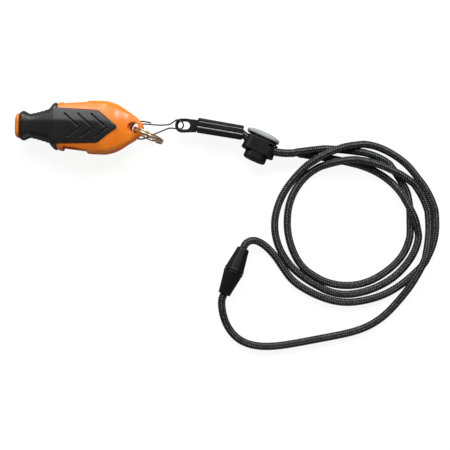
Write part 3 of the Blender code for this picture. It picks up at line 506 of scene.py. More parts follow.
def dark_wire():
    n = Nodes("dark_steel_wire")
    at = n.where()
    drawn = n.noise(n.stretched(at, 0.3, 1, 1), 2600, 4)
    colour = n.ramp(n.noise(at, 400, 3), (0.3, 0.03), (0.7, 0.07))
    rough = n.span(drawn, 0.3, 0.7, 0.22, 0.4)
    return n.surface(Base_Color=colour, Metallic=0.9, Roughness=rough, Normal=n.bump(drawn, 0.00001, 0.4))


def braid_cord():
    """Fine braided sleeve. The strands are in the mesh: "crown" is 1 on the top of a strand and 0 in the groove between two."""
    n = Nodes("black_braid")
    at = n.where()
    crown = n.add("ShaderNodeAttribute", 2, {"attribute_name": "crown"})
    lay = n.add("ShaderNodeUVMap", 0, {"uv_map": "lay"})
    thread = n.noise(n.stretched(lay, 7.0, 0.5, 1), 1.0, 3)
    glint_noise = n.noise(at, 1300, 2, 0.7)
    # Painted shade: the colour is darkest in the grooves between strands (crown 0) and lighter on the strand tops.
    high = n.span(crown, 0.3, 0.95, 0.0, 1.0)
    colour = n.blend(high, (0.0015, 0.0015, 0.0017, 1), n.ramp(thread, (0.3, 0.005), (0.7, 0.017)))
    # Painted glints: pale grey spots on the strand crowns stand in for the braid's specular glints.
    crown_glint_mask = n.span(crown, 0.78, 0.94, 0.0, 1.0)
    light = n.maths("MULTIPLY", n.span(glint_noise, 0.40, 0.58, 0.12, 1.0), crown_glint_mask)
    colour = n.blend(light, colour, (0.27, 0.27, 0.28, 1))
    rough = n.span(thread, 0.3, 0.7, 0.42, 0.6)
    normal = n.bump(thread, 0.00005, 0.5)
    return n.surface(Base_Color=colour, Roughness=rough, Normal=normal, Specular_IOR_Level=0.28, Sheen_Weight=0.03, Sheen_Roughness=0.4)


ORANGE, GRIP_MAT, HARD, NICKEL, WIRE, BRAID, PLATE_REFLECTION_PAINT, HIGHLIGHT_PAINT = (
    orange_plastic(), soft_grip(), hard_plastic(), nickel_steel(), dark_wire(), braid_cord(), plate_painted_reflection(), painted_highlight_trim())

# ---------------------------------------------------------------- whistle
BODY = [
    (-35.25, 4.4, 2.6, 2.2), (-34.95, 5.5, 3.3, 2.6), (-34.4, 6.25, 3.9, 3.0), (-33.7, 6.7, 4.2, 3.2), (-32.95, 6.75, 4.2, 3.2),
    (-32.85, 4.3, 3.6, 2.6), (-17.5, 4.6, 4.2, 3.0), (-15.2, 7.0, 5.3, 3.0), (-13.6, 9.5, 6.4, 3.0),
    (-12.45, 10.8, 6.9, 2.8), (-11.9, 12.1, 7.7, 2.2), (-11.65, 12.35, 7.9, 2.0), (-8.6, 12.95, 8.0, 1.7),
    (-2.0, 13.4, 8.0, 1.7), (4.5, 14.05, 8.0, 1.7), (9.0, 14.35, 8.0, 1.8), (13.8, 14.3, 8.0, 2.1),
    (17.6, 13.6, 7.75, 2.6), (20.0, 12.8, 7.15, 2.7), (22.0, 11.9, 6.3, 2.7), (24.0, 10.7, 5.35, 2.6),
    (26.4, 9.1, 4.4, 2.2), (28.8, 7.5, 3.9, 1.7), (31.0, 5.9, 3.8, 1.6), (33.0, 4.0, 3.65, 1.6),
    (34.2, 2.4, 3.3, 1.5), (34.85, 1.1, 2.7, 1.0),
]
GRIP = [
    (-32.6, 7.0, 5.0, 3.4), (-31.7, 7.7, 5.6, 3.8), (-30.5, 7.95, 5.85, 4.0), (-29.2, 7.4, 5.75, 3.9),
    (-27.6, 6.6, 5.6, 3.6), (-26.5, 6.4, 5.7, 3.6), (-24.0, 6.85, 6.15, 3.6), (-21.0, 7.55, 6.85, 3.6),
    (-18.2, 8.3, 7.6, 3.6), (-16.5, 9.1, 8.05, 3.6), (-15.4, 10.5, 8.33, 3.5), (-14.5, 11.7, 8.55, 3.3),
    (-13.6, 12.3, 8.72, 3.0), (-12.3, 12.5, 8.8, 2.8),
]
GRIP_INSIDE = [
    (-33.4, 4.6, 3.9, 2.8), (-17.5, 4.9, 4.5, 3.2), (-15.2, 7.3, 5.6, 3.2), (-13.6, 9.8, 6.7, 3.2),
    (-12.45, 11.15, 7.2, 3.0), (-11.85, 12.5, 7.7, 2.8),
]
PANEL_Y = -0.3
PANEL = [(-14.0, 9.8), (-11.0, 9.55), (-4.0, 9.25), (3.0, 8.95), (9.6, 8.7), (10.3, 8.45), (11.0, 8.0), (18.4, 1.9), (20.3, 0.6), (20.6, 0.25)]
AIR = [
    (-36.0, 3.1, 2.2, 1.0), (-17.5, 3.3, 2.6, 1.0), (-9.3, 9.7, 4.4, 1.0), (-8.9, 10.4, CAVITY_T, 1.0),
    (-3.0, 13.4 - 2 * WALL, CAVITY_T, 1.0), (4.5, 14.05 - WALL, CAVITY_T, 1.0), (13.8, 14.3 - WALL, CAVITY_T, 1.0),
    (17.6, 11.6, 5.0, 1.0), (20.5, 9.8, 4.2, 1.0), (21.0, 8.6, 3.6, 1.0),
]
CORE = [
    (-33.6, 0.4, 1.5, 0.3), (-31.0, 1.4, 1.8, 0.6), (-25.0, 1.9, 1.95, 0.6), (-17.6, 2.1, 2.2, 0.6),
    (-10.2, 7.8, 3.9, 0.8), (-9.5, 8.3, 4.0, 0.8), (-8.2, 8.3, 4.1, 0.8), (-7.4, 7.0, 4.2, 0.8), (-5.8, 1.2, 4.6, 0.5),
    (-5.0, 0.8, 4.9, 0.4), (17.4, 0.8, 4.6, 0.4), (20.0, 0.8, 3.9, 0.4),
]


def roof(y, side):
    """Height of a grip panel over the whistle's middle plane, before the faces are crowned."""
    off = y - (1.8 if side > 0 else 0.0)
    return PANEL_HALF_T - 0.0012 * off * off


def panel(grow, low, side, rise=0.0, inset=0.0):
    rings = []
    across = [i / 14.0 for i in range(-14, 15)]
    stations = []
    for (xa, wa), (xb, wb) in zip(PANEL[:-1], PANEL[1:]):
        count = max(1, int((xb - xa) / 0.8))
        stations += [(xa + (xb - xa) * i / count, wa + (wb - wa) * i / count) for i in range(count)]
    stations.append(PANEL[-1])
    for i, (x, w) in enumerate(stations):
        x = x - grow if i == 0 else x + grow * (x - PANEL[0][0]) / (PANEL[-1][0] - PANEL[0][0])
        w = w + grow
        ring = [(-w, low)] + [(w * a, roof(w * a, side) + rise) for a in across] + [(w, low)]
        rings.append([(x, y + PANEL_Y, WHISTLE_Z + side * z) for y, z in ring])
    return skin(rings)


TOP_X = [g[0] for g in GRIP] + [b[0] for b in BODY if b[0] > -8.7]
TOP_Z = [g[2] for g in GRIP[:-1]] + [8.3] + [b[2] for b in BODY if b[0] > -8.7]


def crowned(points):
    """The whistle's faces fall away from a soft crest, and fall faster past the panels' edges and round the tail."""
    x, y, h = points[:, 0], points[:, 1], points[:, 2] - WHISTLE_Z
    off = y - np.where(h > 0, 2.2, 0.0)

    def ease(value, low, high):
        t = np.clip((value - low) / (high - low), 0, 1)
        return t * t * (3 - 2 * t)

    fall = np.where(off > 0, CREASE_UP, CREASE_DOWN) * (np.sqrt(off * off + 0.8) - 0.894) * (1 - ease(x, 6.0, 20.0))
    past = np.abs(y - PANEL_Y) - 9.7
    past = 0.5 * (past + np.sqrt(past * past + 0.5))
    fall += 0.36 * past * (1 - ease(x, 8.0, 16.0)) * ease(x, -15.0, -12.0)
    fall += np.where(y > 0, 0.021, 0.015) * y * y * ease(x, 6.0, 20.0)
    share = np.clip(np.abs(h) / np.interp(x, TOP_X, TOP_Z), 0, 1.12)
    out = points.copy()
    out[:, 2] = WHISTLE_Z + np.sign(h) * np.maximum(np.abs(h) - fall * share, np.minimum(np.abs(h), 0.02))
    return out


def groove(start, end, side, wide=0.4, narrow=0.22):
    """A straight V groove with round ends, cut into a grip panel."""
    dx, dy = end[0] - start[0], end[1] - start[1]
    run = math.hypot(dx, dy)
    ux, uy = dx / run, dy / run
    rings = []
    for depth, w in ((-CHEVRON_D, narrow), (0.05, wide), (1.2, wide + 0.3)):
        ring = []
        for (cx, cy), turn in ((end, 0.0), (start, math.pi)):
            for i in range(7):
                a = turn - math.pi / 2 + math.pi * i / 6
                ring.append((cx + w * (ux * math.cos(a) - uy * math.sin(a)), cy + w * (uy * math.cos(a) + ux * math.sin(a)),
                             WHISTLE_Z + side * (roof(cy, side) + depth)))
        rings.append(ring)
    return skin(rings)


def chevron(apex_x, side):
    return [groove((apex_x + 0.1, PANEL_Y), (apex_x - 7.1, 6.1), side),
            groove((apex_x + 1.5, PANEL_Y - 0.7), (apex_x - 5.2, PANEL_Y - 5.9), side)]


BITES = (-25.2, -22.9, -20.6, -18.4)        # small bite ridges down the neck's edges
grip_stations = filled(GRIP, 0.25)
for station in grip_stations:
    for bite in BITES:
        station[1] += 0.26 * math.exp(-((station[0] - bite) / 0.5) ** 2)
grip = join(loft_x(grip_stations, WHISTLE_Z, 10), panel(0, POCKET_T + GAP, 1), panel(0, POCKET_T + GAP, -1))
grip = cut(grip, loft_x(filled(GRIP_INSIDE, 1.0), WHISTLE_Z))
for apex in CHEVRON_APEX:
    cut(grip, *chevron(apex, 1))
    cut(grip, *chevron(apex + BACK_CHEVRONS, -1))
moulded(grip, 0.2, 3)
set_coords(grip, crowned(coords(grip)))
grip = piece(grip, "soft_grip", GRIP_MAT)
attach(grip, "whistle")
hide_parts("grip_sleeve")

core = moulded(loft_x(filled(CORE, 0.8), WHISTLE_Z), 0.22, 2)
core = piece(core, "windway_core", ORANGE)
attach(core, "whistle")
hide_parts("windway_insert")


def window(side):
    x0, x1 = WINDOW_X
    outline = [(x0, side * 20.0), (x0, side * 10.2), (x0 + 4.0, side * 10.2), (x1 - 0.2, side * 13.1), (x1, side * 20.0)]
    return prism(outline if side < 0 else outline[::-1], WHISTLE_Z - 6.5, WHISTLE_Z + 6.5)


def notch(side):
    """The window's edges stand back from the outline of the body."""
    x0, x1 = WINDOW_X
    y0, y1 = (12.2, 13.4) if side > 0 else (11.25, 12.7)
    outline = [(x0, side * 20.0), (x0, side * y0), (x1 - 0.3, side * y1), (x1, side * 20.0)]
    return prism(outline if side < 0 else outline[::-1], WHISTLE_Z - 12, WHISTLE_Z + 12)


def mouth_cut(side):
    x0 = WINDOW_X[0] + 0.1
    return box(x0, x0 + 3.6, min(side * 8.6, side * 10.8), max(side * 8.6, side * 10.8), WHISTLE_Z - 4.6, WHISTLE_Z + 4.6)


shell = loft_x(filled(BODY, 0.6), WHISTLE_Z, 10)
for s in (1, -1):
    cut(shell, panel(SEAM, POCKET_T, s, 3.0))
cut(shell, loft_x(AIR, WHISTLE_Z, 2), window(1), window(-1), mouth_cut(1), mouth_cut(-1),
    notch(1), notch(-1))
bore = skin([[(HOLE_X + dx + r * math.cos(2 * math.pi * i / 56), dy + r * math.sin(2 * math.pi * i / 56), WHISTLE_Z + h) for i in range(56)]
             for h, dx, dy, r in ((-8.0, 1.4, 0.8, 4.3), (-2.6, 1.3, 0.75, 2.5), (0.0, 1.0, 0.55, 2.5), (2.4, 0.2, 0.1, 2.85), (3.4, 0.1, 0.05, 2.95), (8.0, 0.1, 0.0, 3.4))])
cut(shell, bore)
for side, name, node in ((1, "front_shell", "body_shell_front"), (-1, "back_shell", "body_shell_back")):
    if side > 0:
        keep = box(-50, 50, -30, 30, WHISTLE_Z + 0.03, WHISTLE_Z + 30)
    else:
        keep = box(-50, 50, -30, 30, WHISTLE_Z - 30, WHISTLE_Z - 0.03)
    half = moulded(meet(copy_of(shell), keep), 0.22, 3)
    set_coords(half, crowned(coords(half)))
    half = piece(half, name, ORANGE)
    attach(half, "whistle")
    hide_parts(node)
bpy.data.objects.remove(shell, do_unlink=True)

# ---------------------------------------------------------------- split ring
ring_dir = np.array([math.cos(RING_HEADING), math.sin(RING_HEADING), 0.0])
ring_axis = np.array([-ring_dir[1], ring_dir[0], 0.0])
ring_centre = np.array([RING_FAR[0], RING_FAR[1], RING_Z]) - RING_OUTER_R * ring_dir
ring_mid_r = RING_OUTER_R - RING_RADIAL / 2
coil_shift = (RING_AXIAL + 0.12) / 2
ring_rings = []
for i in range(341):
    turn = 5 + (715 - 5) * i / 340
    across = min(1.0, max(0.0, (turn - 340.0) / 40.0))
    shift = -coil_shift + 2 * coil_shift * (3 * across ** 2 - 2 * across ** 3)
    angle = math.radians(turn - 62.0)
    out = math.cos(angle) * ring_dir + math.sin(angle) * np.array([0, 0, 1.0])
    mid = ring_centre + shift * ring_axis
    ends = min(i, 340 - i)
    share = 0.55 if ends == 0 else (0.85 if ends == 1 else 1.0)
    ring_rings.append([mid + (ring_mid_r + du) * out + da * ring_axis
                       for du, da in rounded(RING_RADIAL / 2 * share, RING_AXIAL / 2 * share, 0.42 * share, 4)])
ring = piece(skin(ring_rings), "ring_wire", NICKEL)
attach(ring, "ring")
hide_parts("split_ring")

# ---------------------------------------------------------------- wire snap
HOOK = [
    (38.3, 4.1, 4.7), (35.5, 4.6, 4.5), (32.0, 4.7, 4.3), (29.3, 3.4, 4.2), (27.9, 0.9, 4.2), (28.4, -2.2, 4.2),
    (30.2, -4.2, 4.2), (33.0, -5.0, 4.2), (36.1, -4.2, 4.3), (40.4, -2.1, 4.4), (45.3, 0.1, 4.3), (48.7, 1.5, 3.7),
    (50.6, 1.65, 3.0), (52.4, 1.5, 2.75), (54.2, 1.35, 2.85), (55.7, 1.9, 3.6), (56.3, 3.1, 5.2), (55.9, 4.3, 6.6),
    (54.9, 5.2, 7.35), (53.3, 5.75, 7.55), (51.9, 5.2, 7.3), (50.9, 4.55, 6.9),
]
GATE = [(50.95, 4.6, 6.94), (50.4, 4.2, 6.6), (49.0, 3.4, 6.1), (47.0, 3.0, 5.8), (43.6, 2.8, 5.6), (38.1, 3.1, 5.0), (34.6, 3.3, 4.4), (33.3, 3.2, 4.3)]
hook = piece(tube(spline(HOOK, 0.3), WIRE_R, 18, True, True), "snap_wire", WIRE)
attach(hook, "snap")
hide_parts("snap_hook")
gate = piece(tube(spline(GATE, 0.3), WIRE_R - 0.01, 18, False, True), "gate_wire", WIRE)
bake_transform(gate)
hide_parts("snap_gate")

# ---------------------------------------------------------------- cord-end clamp
clamp_dir = np.array(CLAMP_TO) - np.array(CLAMP_FROM)
CLAMP_LEN = float(np.linalg.norm(clamp_dir))
CLAMP_HEADING = math.atan2(clamp_dir[1], clamp_dir[0])
CHANNEL_V = 0.45
PART_V = -1.2


def clamp_blank(trim=0.0):
    stations = [(0.0, CLAMP_HALF_W - 0.5 - trim, CLAMP_HALF_T - 0.6 - trim, 0.9), (0.25, CLAMP_HALF_W - 0.15 - trim, CLAMP_HALF_T - 0.2 - trim, 1.0),
                (0.6, CLAMP_HALF_W - trim, CLAMP_HALF_T - trim, 1.0), (CLAMP_LEN - 0.6, CLAMP_HALF_W - 0.15 - trim, CLAMP_HALF_T - trim, 1.0),
                (CLAMP_LEN - 0.2, CLAMP_HALF_W - 0.3 - trim, CLAMP_HALF_T - 0.2 - trim, 1.0), (CLAMP_LEN, CLAMP_HALF_W - 0.6 - trim, CLAMP_HALF_T - 0.5 - trim, 0.9)]
    return loft_x(stations, 0.0, 6)


def clamp_channel():
    half_w, half_t = CORD_R + GAP, STRAND_STEP / 2 + CORD_R + GAP
    return skin([[(x, CHANNEL_V + u, v) for u, v in rounded(half_w, half_t, half_w - 0.05, 6)] for x in (3.4, CLAMP_LEN + 2.0)])


def bar(x0, x1, y0, y1, z0, z1, chamfer=0.0):
    """A straight cutter along the clamp whose upper corners widen by chamfer."""
    top = z1 - chamfer
    ring = [(y0, z0), (y1, z0), (y1, top), (y1 + chamfer, z1), (y1 + chamfer, z1 + 3), (y0 - chamfer, z1 + 3), (y0 - chamfer, z1), (y0, top)]
    return skin([[(x, y, z) for y, z in ring] for x in (x0, x1)])


r = 3.65
eye_outline = [(EYE_RIGHT, 2.9), (3.2, EYE_HALF_W - 0.3), (1.8, EYE_HALF_W - 0.06), (0.6, EYE_HALF_W)]
eye_outline += [(EYE_LEFT + r - r * math.sin(math.pi / 2 * i / 10), EYE_HALF_W - r + r * math.cos(math.pi / 2 * i / 10)) for i in range(11)]
eye_outline += [(EYE_LEFT + r - r * math.cos(math.pi / 2 * i / 10), -EYE_HALF_W + r - r * math.sin(math.pi / 2 * i / 10)) for i in range(11)]
eye_outline += [(0.6, -EYE_HALF_W), (3.2, -EYE_HALF_W + 0.1), (EYE_RIGHT, -EYE_HALF_W + 0.2)]
hole_outline = rounded(EYE_HOLE[0], EYE_HOLE[1] - 0.05, 2.15, 8)


def clamp_local(outline):
    """Points given from the eyelet's middle, in the clamp's own axes."""
    c, s = math.cos(EYE_HEADING), math.sin(EYE_HEADING)
    cc, cs = math.cos(CLAMP_HEADING), math.sin(CLAMP_HEADING)
    out = []
    for x, y in outline:
        wx, wy = EYE_CENTRE[0] + c * x - s * y - CLAMP_FROM[0], EYE_CENTRE[1] + s * x + c * y - CLAMP_FROM[1]
        out.append((cc * wx + cs * wy, -cs * wx + cc * wy))
    return out


base = clamp_blank()
cut(base, box(-5, CLAMP_LEN + 5, -8, PART_V + 0.34, -8, 8))
eye = prism(clamp_local(eye_outline), -EYE_HALF_T, EYE_HALF_T)
cut(eye, box(-0.06, 5.0, -8, PART_V + GAP, -5, 5), box(1.2, 9.0, -8, 8, -5, 5))
base = join(base, eye)
cut(base, prism(clamp_local(hole_outline), -5, 5), clamp_channel())
cut(base, bar(1.0, CLAMP_LEN + 2.0, 1.2, 1.66, 4.2, CLAMP_HALF_T, 0.08))
lid = clamp_blank(0.05)
cut(lid, box(-5, CLAMP_LEN + 5, PART_V, 8, -8, 8), clamp_channel())
lid = join(lid, box(1.3, 2.3, PART_V - 0.6, 0.2, -0.9, 0.9))
LEADERS = (("a", 1, (121.0, -9.9, 7.2)), ("b", -1, (121.0, -11.0, 3.4)))


def arc_at(degrees, z):
    a = math.radians(degrees)
    return (SLIDE_C[0] + SLIDE_R * math.sin(a), SLIDE_C[1] - SLIDE_R * math.cos(a), z)


def leader_path(up, end):
    z = LINK_Z + up * STRAND_STEP / 2
    u = np.array([math.cos(CLAMP_HEADING), math.sin(CLAMP_HEADING)])
    v = np.array([-u[1], u[0]])
    inside = [np.array(CLAMP_FROM) + u * s + v * CHANNEL_V for s in (4.2, 10.0, 16.0, 20.5)]
    inside.append(np.array(CLAMP_FROM) + u * (CLAMP_LEN - 1.2) + v * (CHANNEL_V - 0.55))
    arc = [arc_at(d, z) for d in np.linspace(-36.0, 8.0, 13)]
    guides = [(p[0], p[1], z) for p in inside] + arc + [(118.9, -10.25, z), (end[0] - 0.15, end[1], end[2])]
    return spline(guides, 0.8)


place(base, CLAMP_FROM, CLAMP_HEADING, LINK_Z)
place(lid, CLAMP_FROM, CLAMP_HEADING, LINK_Z)
for _, up, end in LEADERS:
    for part in (base, lid):
        cut(part, tube(resample(leader_path(up, end), 1.8)[9:18], CORD_R + GAP + 0.1, 24))
moulded(base, 0.12, 2)
moulded(lid, 0.12, 2)
for part, name, node in ((base, "clamp_frame", "clamp_base"), (lid, "clamp_cover", "clamp_lid")):
    part = piece(part, name, HARD)
    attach(part, "leader")
    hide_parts(node)
# Two thin pale strips along the clamp's top are painted highlights, not parts of the clamp: they stand in for the light
# lines along its edge and along its groove.
for name, y, r, x0, x1 in (("clamp_painted_highlight_line", PART_V - 0.36, 0.36, 0.5, CLAMP_LEN - 0.3), ("clamp_thin_painted_highlight", 1.42, 0.17, 1.0, CLAMP_LEN - 0.5)):
    line = [(x0 + (x1 - x0) * i / 24, y, CLAMP_HALF_T - 0.5 * r) for i in range(25)]
    highlight_strip = piece(place(tube(line, r, 16, True, True), CLAMP_FROM, CLAMP_HEADING, LINK_Z), name, HIGHLIGHT_PAINT)
    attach(highlight_strip, "leader")


# ---------------------------------------------------------------- cord lock
def cord_bore(half_w, half_t, push=0.0):
    ring = rounded(half_w, half_t, half_w - 0.05, 6)
    shift = push * np.array([math.sin(LOCK_HEADING), -math.cos(LOCK_HEADING)])
    rings = []
    for i in range(25):
        a = math.radians(-60.0 + 60.0 * i / 24)
        mid = np.array([SLIDE_C[0] + SLIDE_R * math.sin(a), SLIDE_C[1] - SLIDE_R * math.cos(a)]) + shift
        out = np.array([math.sin(a), -math.cos(a)])
        rings.append([(mid[0] + u * out[0], mid[1] + u * out[1], LINK_Z + v) for u, v in ring])
    return skin(rings)


BORE_HALF_W, BORE_HALF_T = CORD_R + GAP, STRAND_STEP / 2 + CORD_R + GAP


def lock_piece(obj):
    return place(obj, LOCK_O, LOCK_HEADING, LINK_Z)


def slab(half_w, half_t, y0, y1, radius, bevel=0.5, steps=8, bevel_low=None):
    """A block with rounded corners seen along Y, and rounded ends, from y0 down to y1."""
    low = bevel if bevel_low is None else bevel_low
    rings = [(y0 - bevel * (1 - math.cos(math.pi / 2 * i / 4)), bevel * (1 - math.sin(math.pi / 2 * i / 4))) for i in range(5)]
    rings += [(y1 + low * (1 - math.cos(math.pi / 2 * i / 4)), low * (1 - math.sin(math.pi / 2 * i / 4))) for i in range(4, -1, -1)]
    return skin([[(u, y, v) for u, v in rounded(half_w - inset, half_t - inset, radius, steps)] for y, inset in rings])


lock_body = slab(LOCK_HALF_W - 0.15, LOCK_HALF_T, -2.1, -BODY_END, 4.2, 0.3, 8, 0.7)
lock_body = join(lock_body, slab(HOUSING_HALF_W + 0.45, HOUSING_HALF_T + 0.2, -BODY_END + 1.5, -HOUSING_END, 4.0, 1.1),
                 slab(LOCK_HALF_W + 0.05, LOCK_HALF_T, -BODY_END + 1.5, -BODY_END - 0.1, 4.8, 0.5))
cut(lock_body, slab(STEM_HALF_W + GAP, STEM_HALF_T + GAP, 0.0, -STEM_END - PRESS - GAP, 1.5, 0.1, 4))
spring_way = skin([[((SPRING_R + 0.7) * math.cos(math.pi / 16 * i), y, (SPRING_R + 0.7) * math.sin(math.pi / 16 * i)) for i in range(32)]
                   for y in (-STEM_END, -HOUSING_END + 0.6)])
cut(lock_body, spring_way)
cut(lock_body, slab(LOCK_HALF_W - 1.25, LOCK_HALF_T - 1.05, 0.0, -2.75 - PRESS - 0.15, 3.2, 0.1, 8))
cut(lock_body, box(4.2, 8.7, -4.4, -2.9, 2.2, 9))
lock_piece(lock_body)
cut(lock_body, cord_bore(BORE_HALF_W, BORE_HALF_T))
lock_body = piece(moulded(lock_body, 0.14, 5), "lock_shell", HARD)
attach(lock_body, "lock")
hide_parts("lock_body")

dome = skin([[(u - 0.6, y, v) for u, v in rounded(a, b, r, 10)] for y, a, b, r in (
    (-0.72, LOCK_HALF_W - 0.1, LOCK_HALF_T - 0.2, 3.6), (-0.5, LOCK_HALF_W + 0.1, LOCK_HALF_T, 3.8),
    (0.3, LOCK_HALF_W + 0.2, LOCK_HALF_T, 3.8), (0.75, LOCK_HALF_W + 0.1, LOCK_HALF_T - 0.1, 3.7), (1.15, LOCK_HALF_W - 0.6, LOCK_HALF_T - 0.25, 3.5),
    (1.55, LOCK_HALF_W - 2.0, LOCK_HALF_T - 0.5, 3.2), (1.9, LOCK_HALF_W - 3.8, LOCK_HALF_T - 1.0, 2.8),
    (2.15, LOCK_HALF_W - 5.8, LOCK_HALF_T - 1.9, 2.0), (2.25, LOCK_HALF_W - 7.4, LOCK_HALF_T - 2.8, 1.3))])
lock_piece(dome)
cut(dome, cord_bore(BORE_HALF_W + 0.2, BORE_HALF_T + 0.1), cord_bore(BORE_HALF_W + 0.2, BORE_HALF_T + 0.1, -PRESS))
# The push plate carries the pale painted reflection in place of its glossy black.
plate = piece(moulded(dome, 0.14, 4), "push_button", PLATE_REFLECTION_PAINT)
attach(plate, "push_plate")
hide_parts("lock_plunger")
plunger = slab(STEM_HALF_W, STEM_HALF_T, -0.8, -STEM_END, 1.2, 0.2, 4)
plunger = join(plunger, slab(LOCK_HALF_W - 1.5, LOCK_HALF_T - 1.3, -0.75, -2.75, 3.0, 0.1, 8))
cut(plunger, box(-12, 12, -7.4, -2.9, -BORE_HALF_T, BORE_HALF_T))
lock_piece(plunger)
cut(plunger, cord_bore(BORE_HALF_W + 0.2, BORE_HALF_T + 0.1), cord_bore(BORE_HALF_W + 0.2, BORE_HALF_T + 0.1, -PRESS))
plunger = piece(moulded(plunger, 0.13, 3), "push_stem", HARD)
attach(plunger, "push_plate")

coil = []
for i in range(SPRING_TURNS * 36 + 1):
    share = i / (SPRING_TURNS * 36)
    turn = 2 * math.pi * i / 36
    y = -STEM_END - GAP - SPRING_WIRE - share * (SPRING_END - STEM_END - GAP - 2 * SPRING_WIRE)
    coil.append((SPRING_R * math.cos(turn), y, SPRING_R * math.sin(turn)))
spring = piece(lock_piece(tube(coil, SPRING_WIRE, 12, True, True)), "spring_wire", WIRE)
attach(spring, "push_plate")
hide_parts("lock_spring")

# ---------------------------------------------------------------- breakaway barrel
barrel_dir = np.array(BARREL_B) - np.array(BARREL_A)
BARREL_LEN = float(np.linalg.norm(barrel_dir))
BARREL_HEADING = math.atan2(barrel_dir[1], barrel_dir[0])
BARREL_MID = (np.array(BARREL_A) + np.array(BARREL_B)) / 2
HALF = BARREL_LEN / 2
BORE_R, CHAMBER_R, NOSE_R, NOSE = 2.1, 3.35, 3.0, 5.0
FACETS = 8


def faceted(angle, t, r):
    """Eight soft flats round the cones, fading out at the seam and at the small ends."""
    if r < 3.05:
        return 1.0
    fade = min(1.0, max(0.0, (HALF - 0.6 - abs(t)) / 3.0)) * min(1.0, max(0.0, (abs(t) - 0.3) / 1.6))
    step = 2 * math.pi / FACETS
    off = (angle + step / 2) % step - step / 2
    flat = math.cos(step / 2) / math.cos(abs(off)) / math.cos(step / 2)
    corner = 1.0 / math.cos(step / 2)
    share = (corner - flat) / (corner - 1.0)
    return 1.0 - 0.045 * fade * share ** 1.5 * 0.9


def cone_profile(sign):
    out = [(HALF, BARREL_END_R - 0.5), (HALF - 0.14, BARREL_END_R - 0.16), (HALF - 0.4, BARREL_END_R + 0.04)]
    for i in range(1, 14):
        share = i / 13
        t = (HALF - 0.4) * (1 - share) + 1.1 * share
        out.append((t, BARREL_END_R + 0.04 + (BARREL_R - BARREL_END_R - 0.06) * share ** 0.92))
    out += [(0.7, BARREL_R), (0.3, BARREL_R - 0.02), (0.14, BARREL_R - 0.16), (0.08, BARREL_R - 0.5)]
    return [(sign * t, r) for t, r in out]


socket = turned_ring([(-HALF, BORE_R)] + cone_profile(-1) + [(-0.08, CHAMBER_R), (-HALF + 3.4, CHAMBER_R), (-HALF + 2.6, BORE_R)], 96, faceted)
plug = turned_ring([(HALF, BORE_R)] + cone_profile(1) + [
    (0.08, NOSE_R), (-NOSE + 1.2, NOSE_R), (-NOSE + 0.5, NOSE_R), (-NOSE, NOSE_R - 0.4),
    (-NOSE, 1.7), (1.6, 1.7), (2.2, CHAMBER_R), (HALF - 3.4, CHAMBER_R), (HALF - 2.6, BORE_R)], 96, faceted)


def on_barrel(obj):
    return place(obj, BARREL_MID, BARREL_HEADING, BARREL_Z)


for part, name, node, body in ((socket, "breakaway_socket", "barrel_socket", "coil"), (plug, "breakaway_plug", "barrel_plug", "tail")):
    part = piece(moulded(on_barrel(part), 0.13, 2), name, HARD)
    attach(part, body)
    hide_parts(node)
for node in ("cord_stop_a", "cord_stop_b"):
    data = frame["nodes"][node].data
    data.materials.clear()
    data.materials.append(NICKEL)

# ---------------------------------------------------------------- cords
LOW = CORD_R + 0.05
HIGH = LOW + STRAND_STEP


def barrel_point(t, z=BARREL_Z):
    unit = barrel_dir / BARREL_LEN
    return (BARREL_MID[0] + unit[0] * t, BARREL_MID[1] + unit[1] * t, z)


CORD_A = [
    (121.0, -9.9, 7.2), (126.4, -9.0, 5.4), (132.0, -7.8, 2.9), (137.5, -7.2, LOW), (146.0, -7.4, LOW), (154.4, -8.6, LOW),
    (162.7, -10.9, LOW), (169.9, -14.8, LOW), (174.4, -19.3, LOW), (177.8, -24.8, LOW), (180.4, -31.4, LOW),
    (182.3, -38.0, LOW), (183.0, -45.7, LOW), (182.2, -54.0, LOW), (179.4, -62.7, LOW), (174.6, -69.4, LOW),
    (167.2, -75.7, LOW), (158.6, -80.3, LOW), (149.3, -82.3, LOW), (140.0, -81.6, LOW), (131.0, -78.3, LOW),
    (123.4, -72.6, LOW), (118.2, -64.3, LOW), (115.2, -54.3, LOW), (114.7, -46.4, LOW), (115.9, -37.5, LOW),
    (119.6, -29.1, LOW), (125.4, -22.0, LOW), (132.4, -17.2, 2.2), (138.8, -14.4, 4.4), (145.8, -13.3, HIGH),
    (154.1, -13.8, HIGH), (162.3, -15.4, HIGH), (171.7, -18.9, HIGH), (180.7, -23.3, 4.0), (187.2, -28.9, LOW),
    (191.4, -36.3, LOW), (193.3, -45.4, LOW), (193.0, -55.5, 2.9), (190.6, -65.2, HIGH), (186.4, -74.6, HIGH),
    (181.2, -83.3, 4.4), (175.0, -91.5, LOW), (168.0, -98.7, LOW), (158.6, -104.8, LOW), (147.5, -108.6, LOW),
    (134.0, -111.6, LOW), (117.8, -115.0, LOW), (102.6, -116.6, LOW), (90.6, -113.6, LOW), (83.3, -106.0, 2.2),
    (80.3, -97.6, 4.2), barrel_point(HALF + 2.5, 5.35), barrel_point(HALF - 1.0), barrel_point(HALF - 6.6),
]
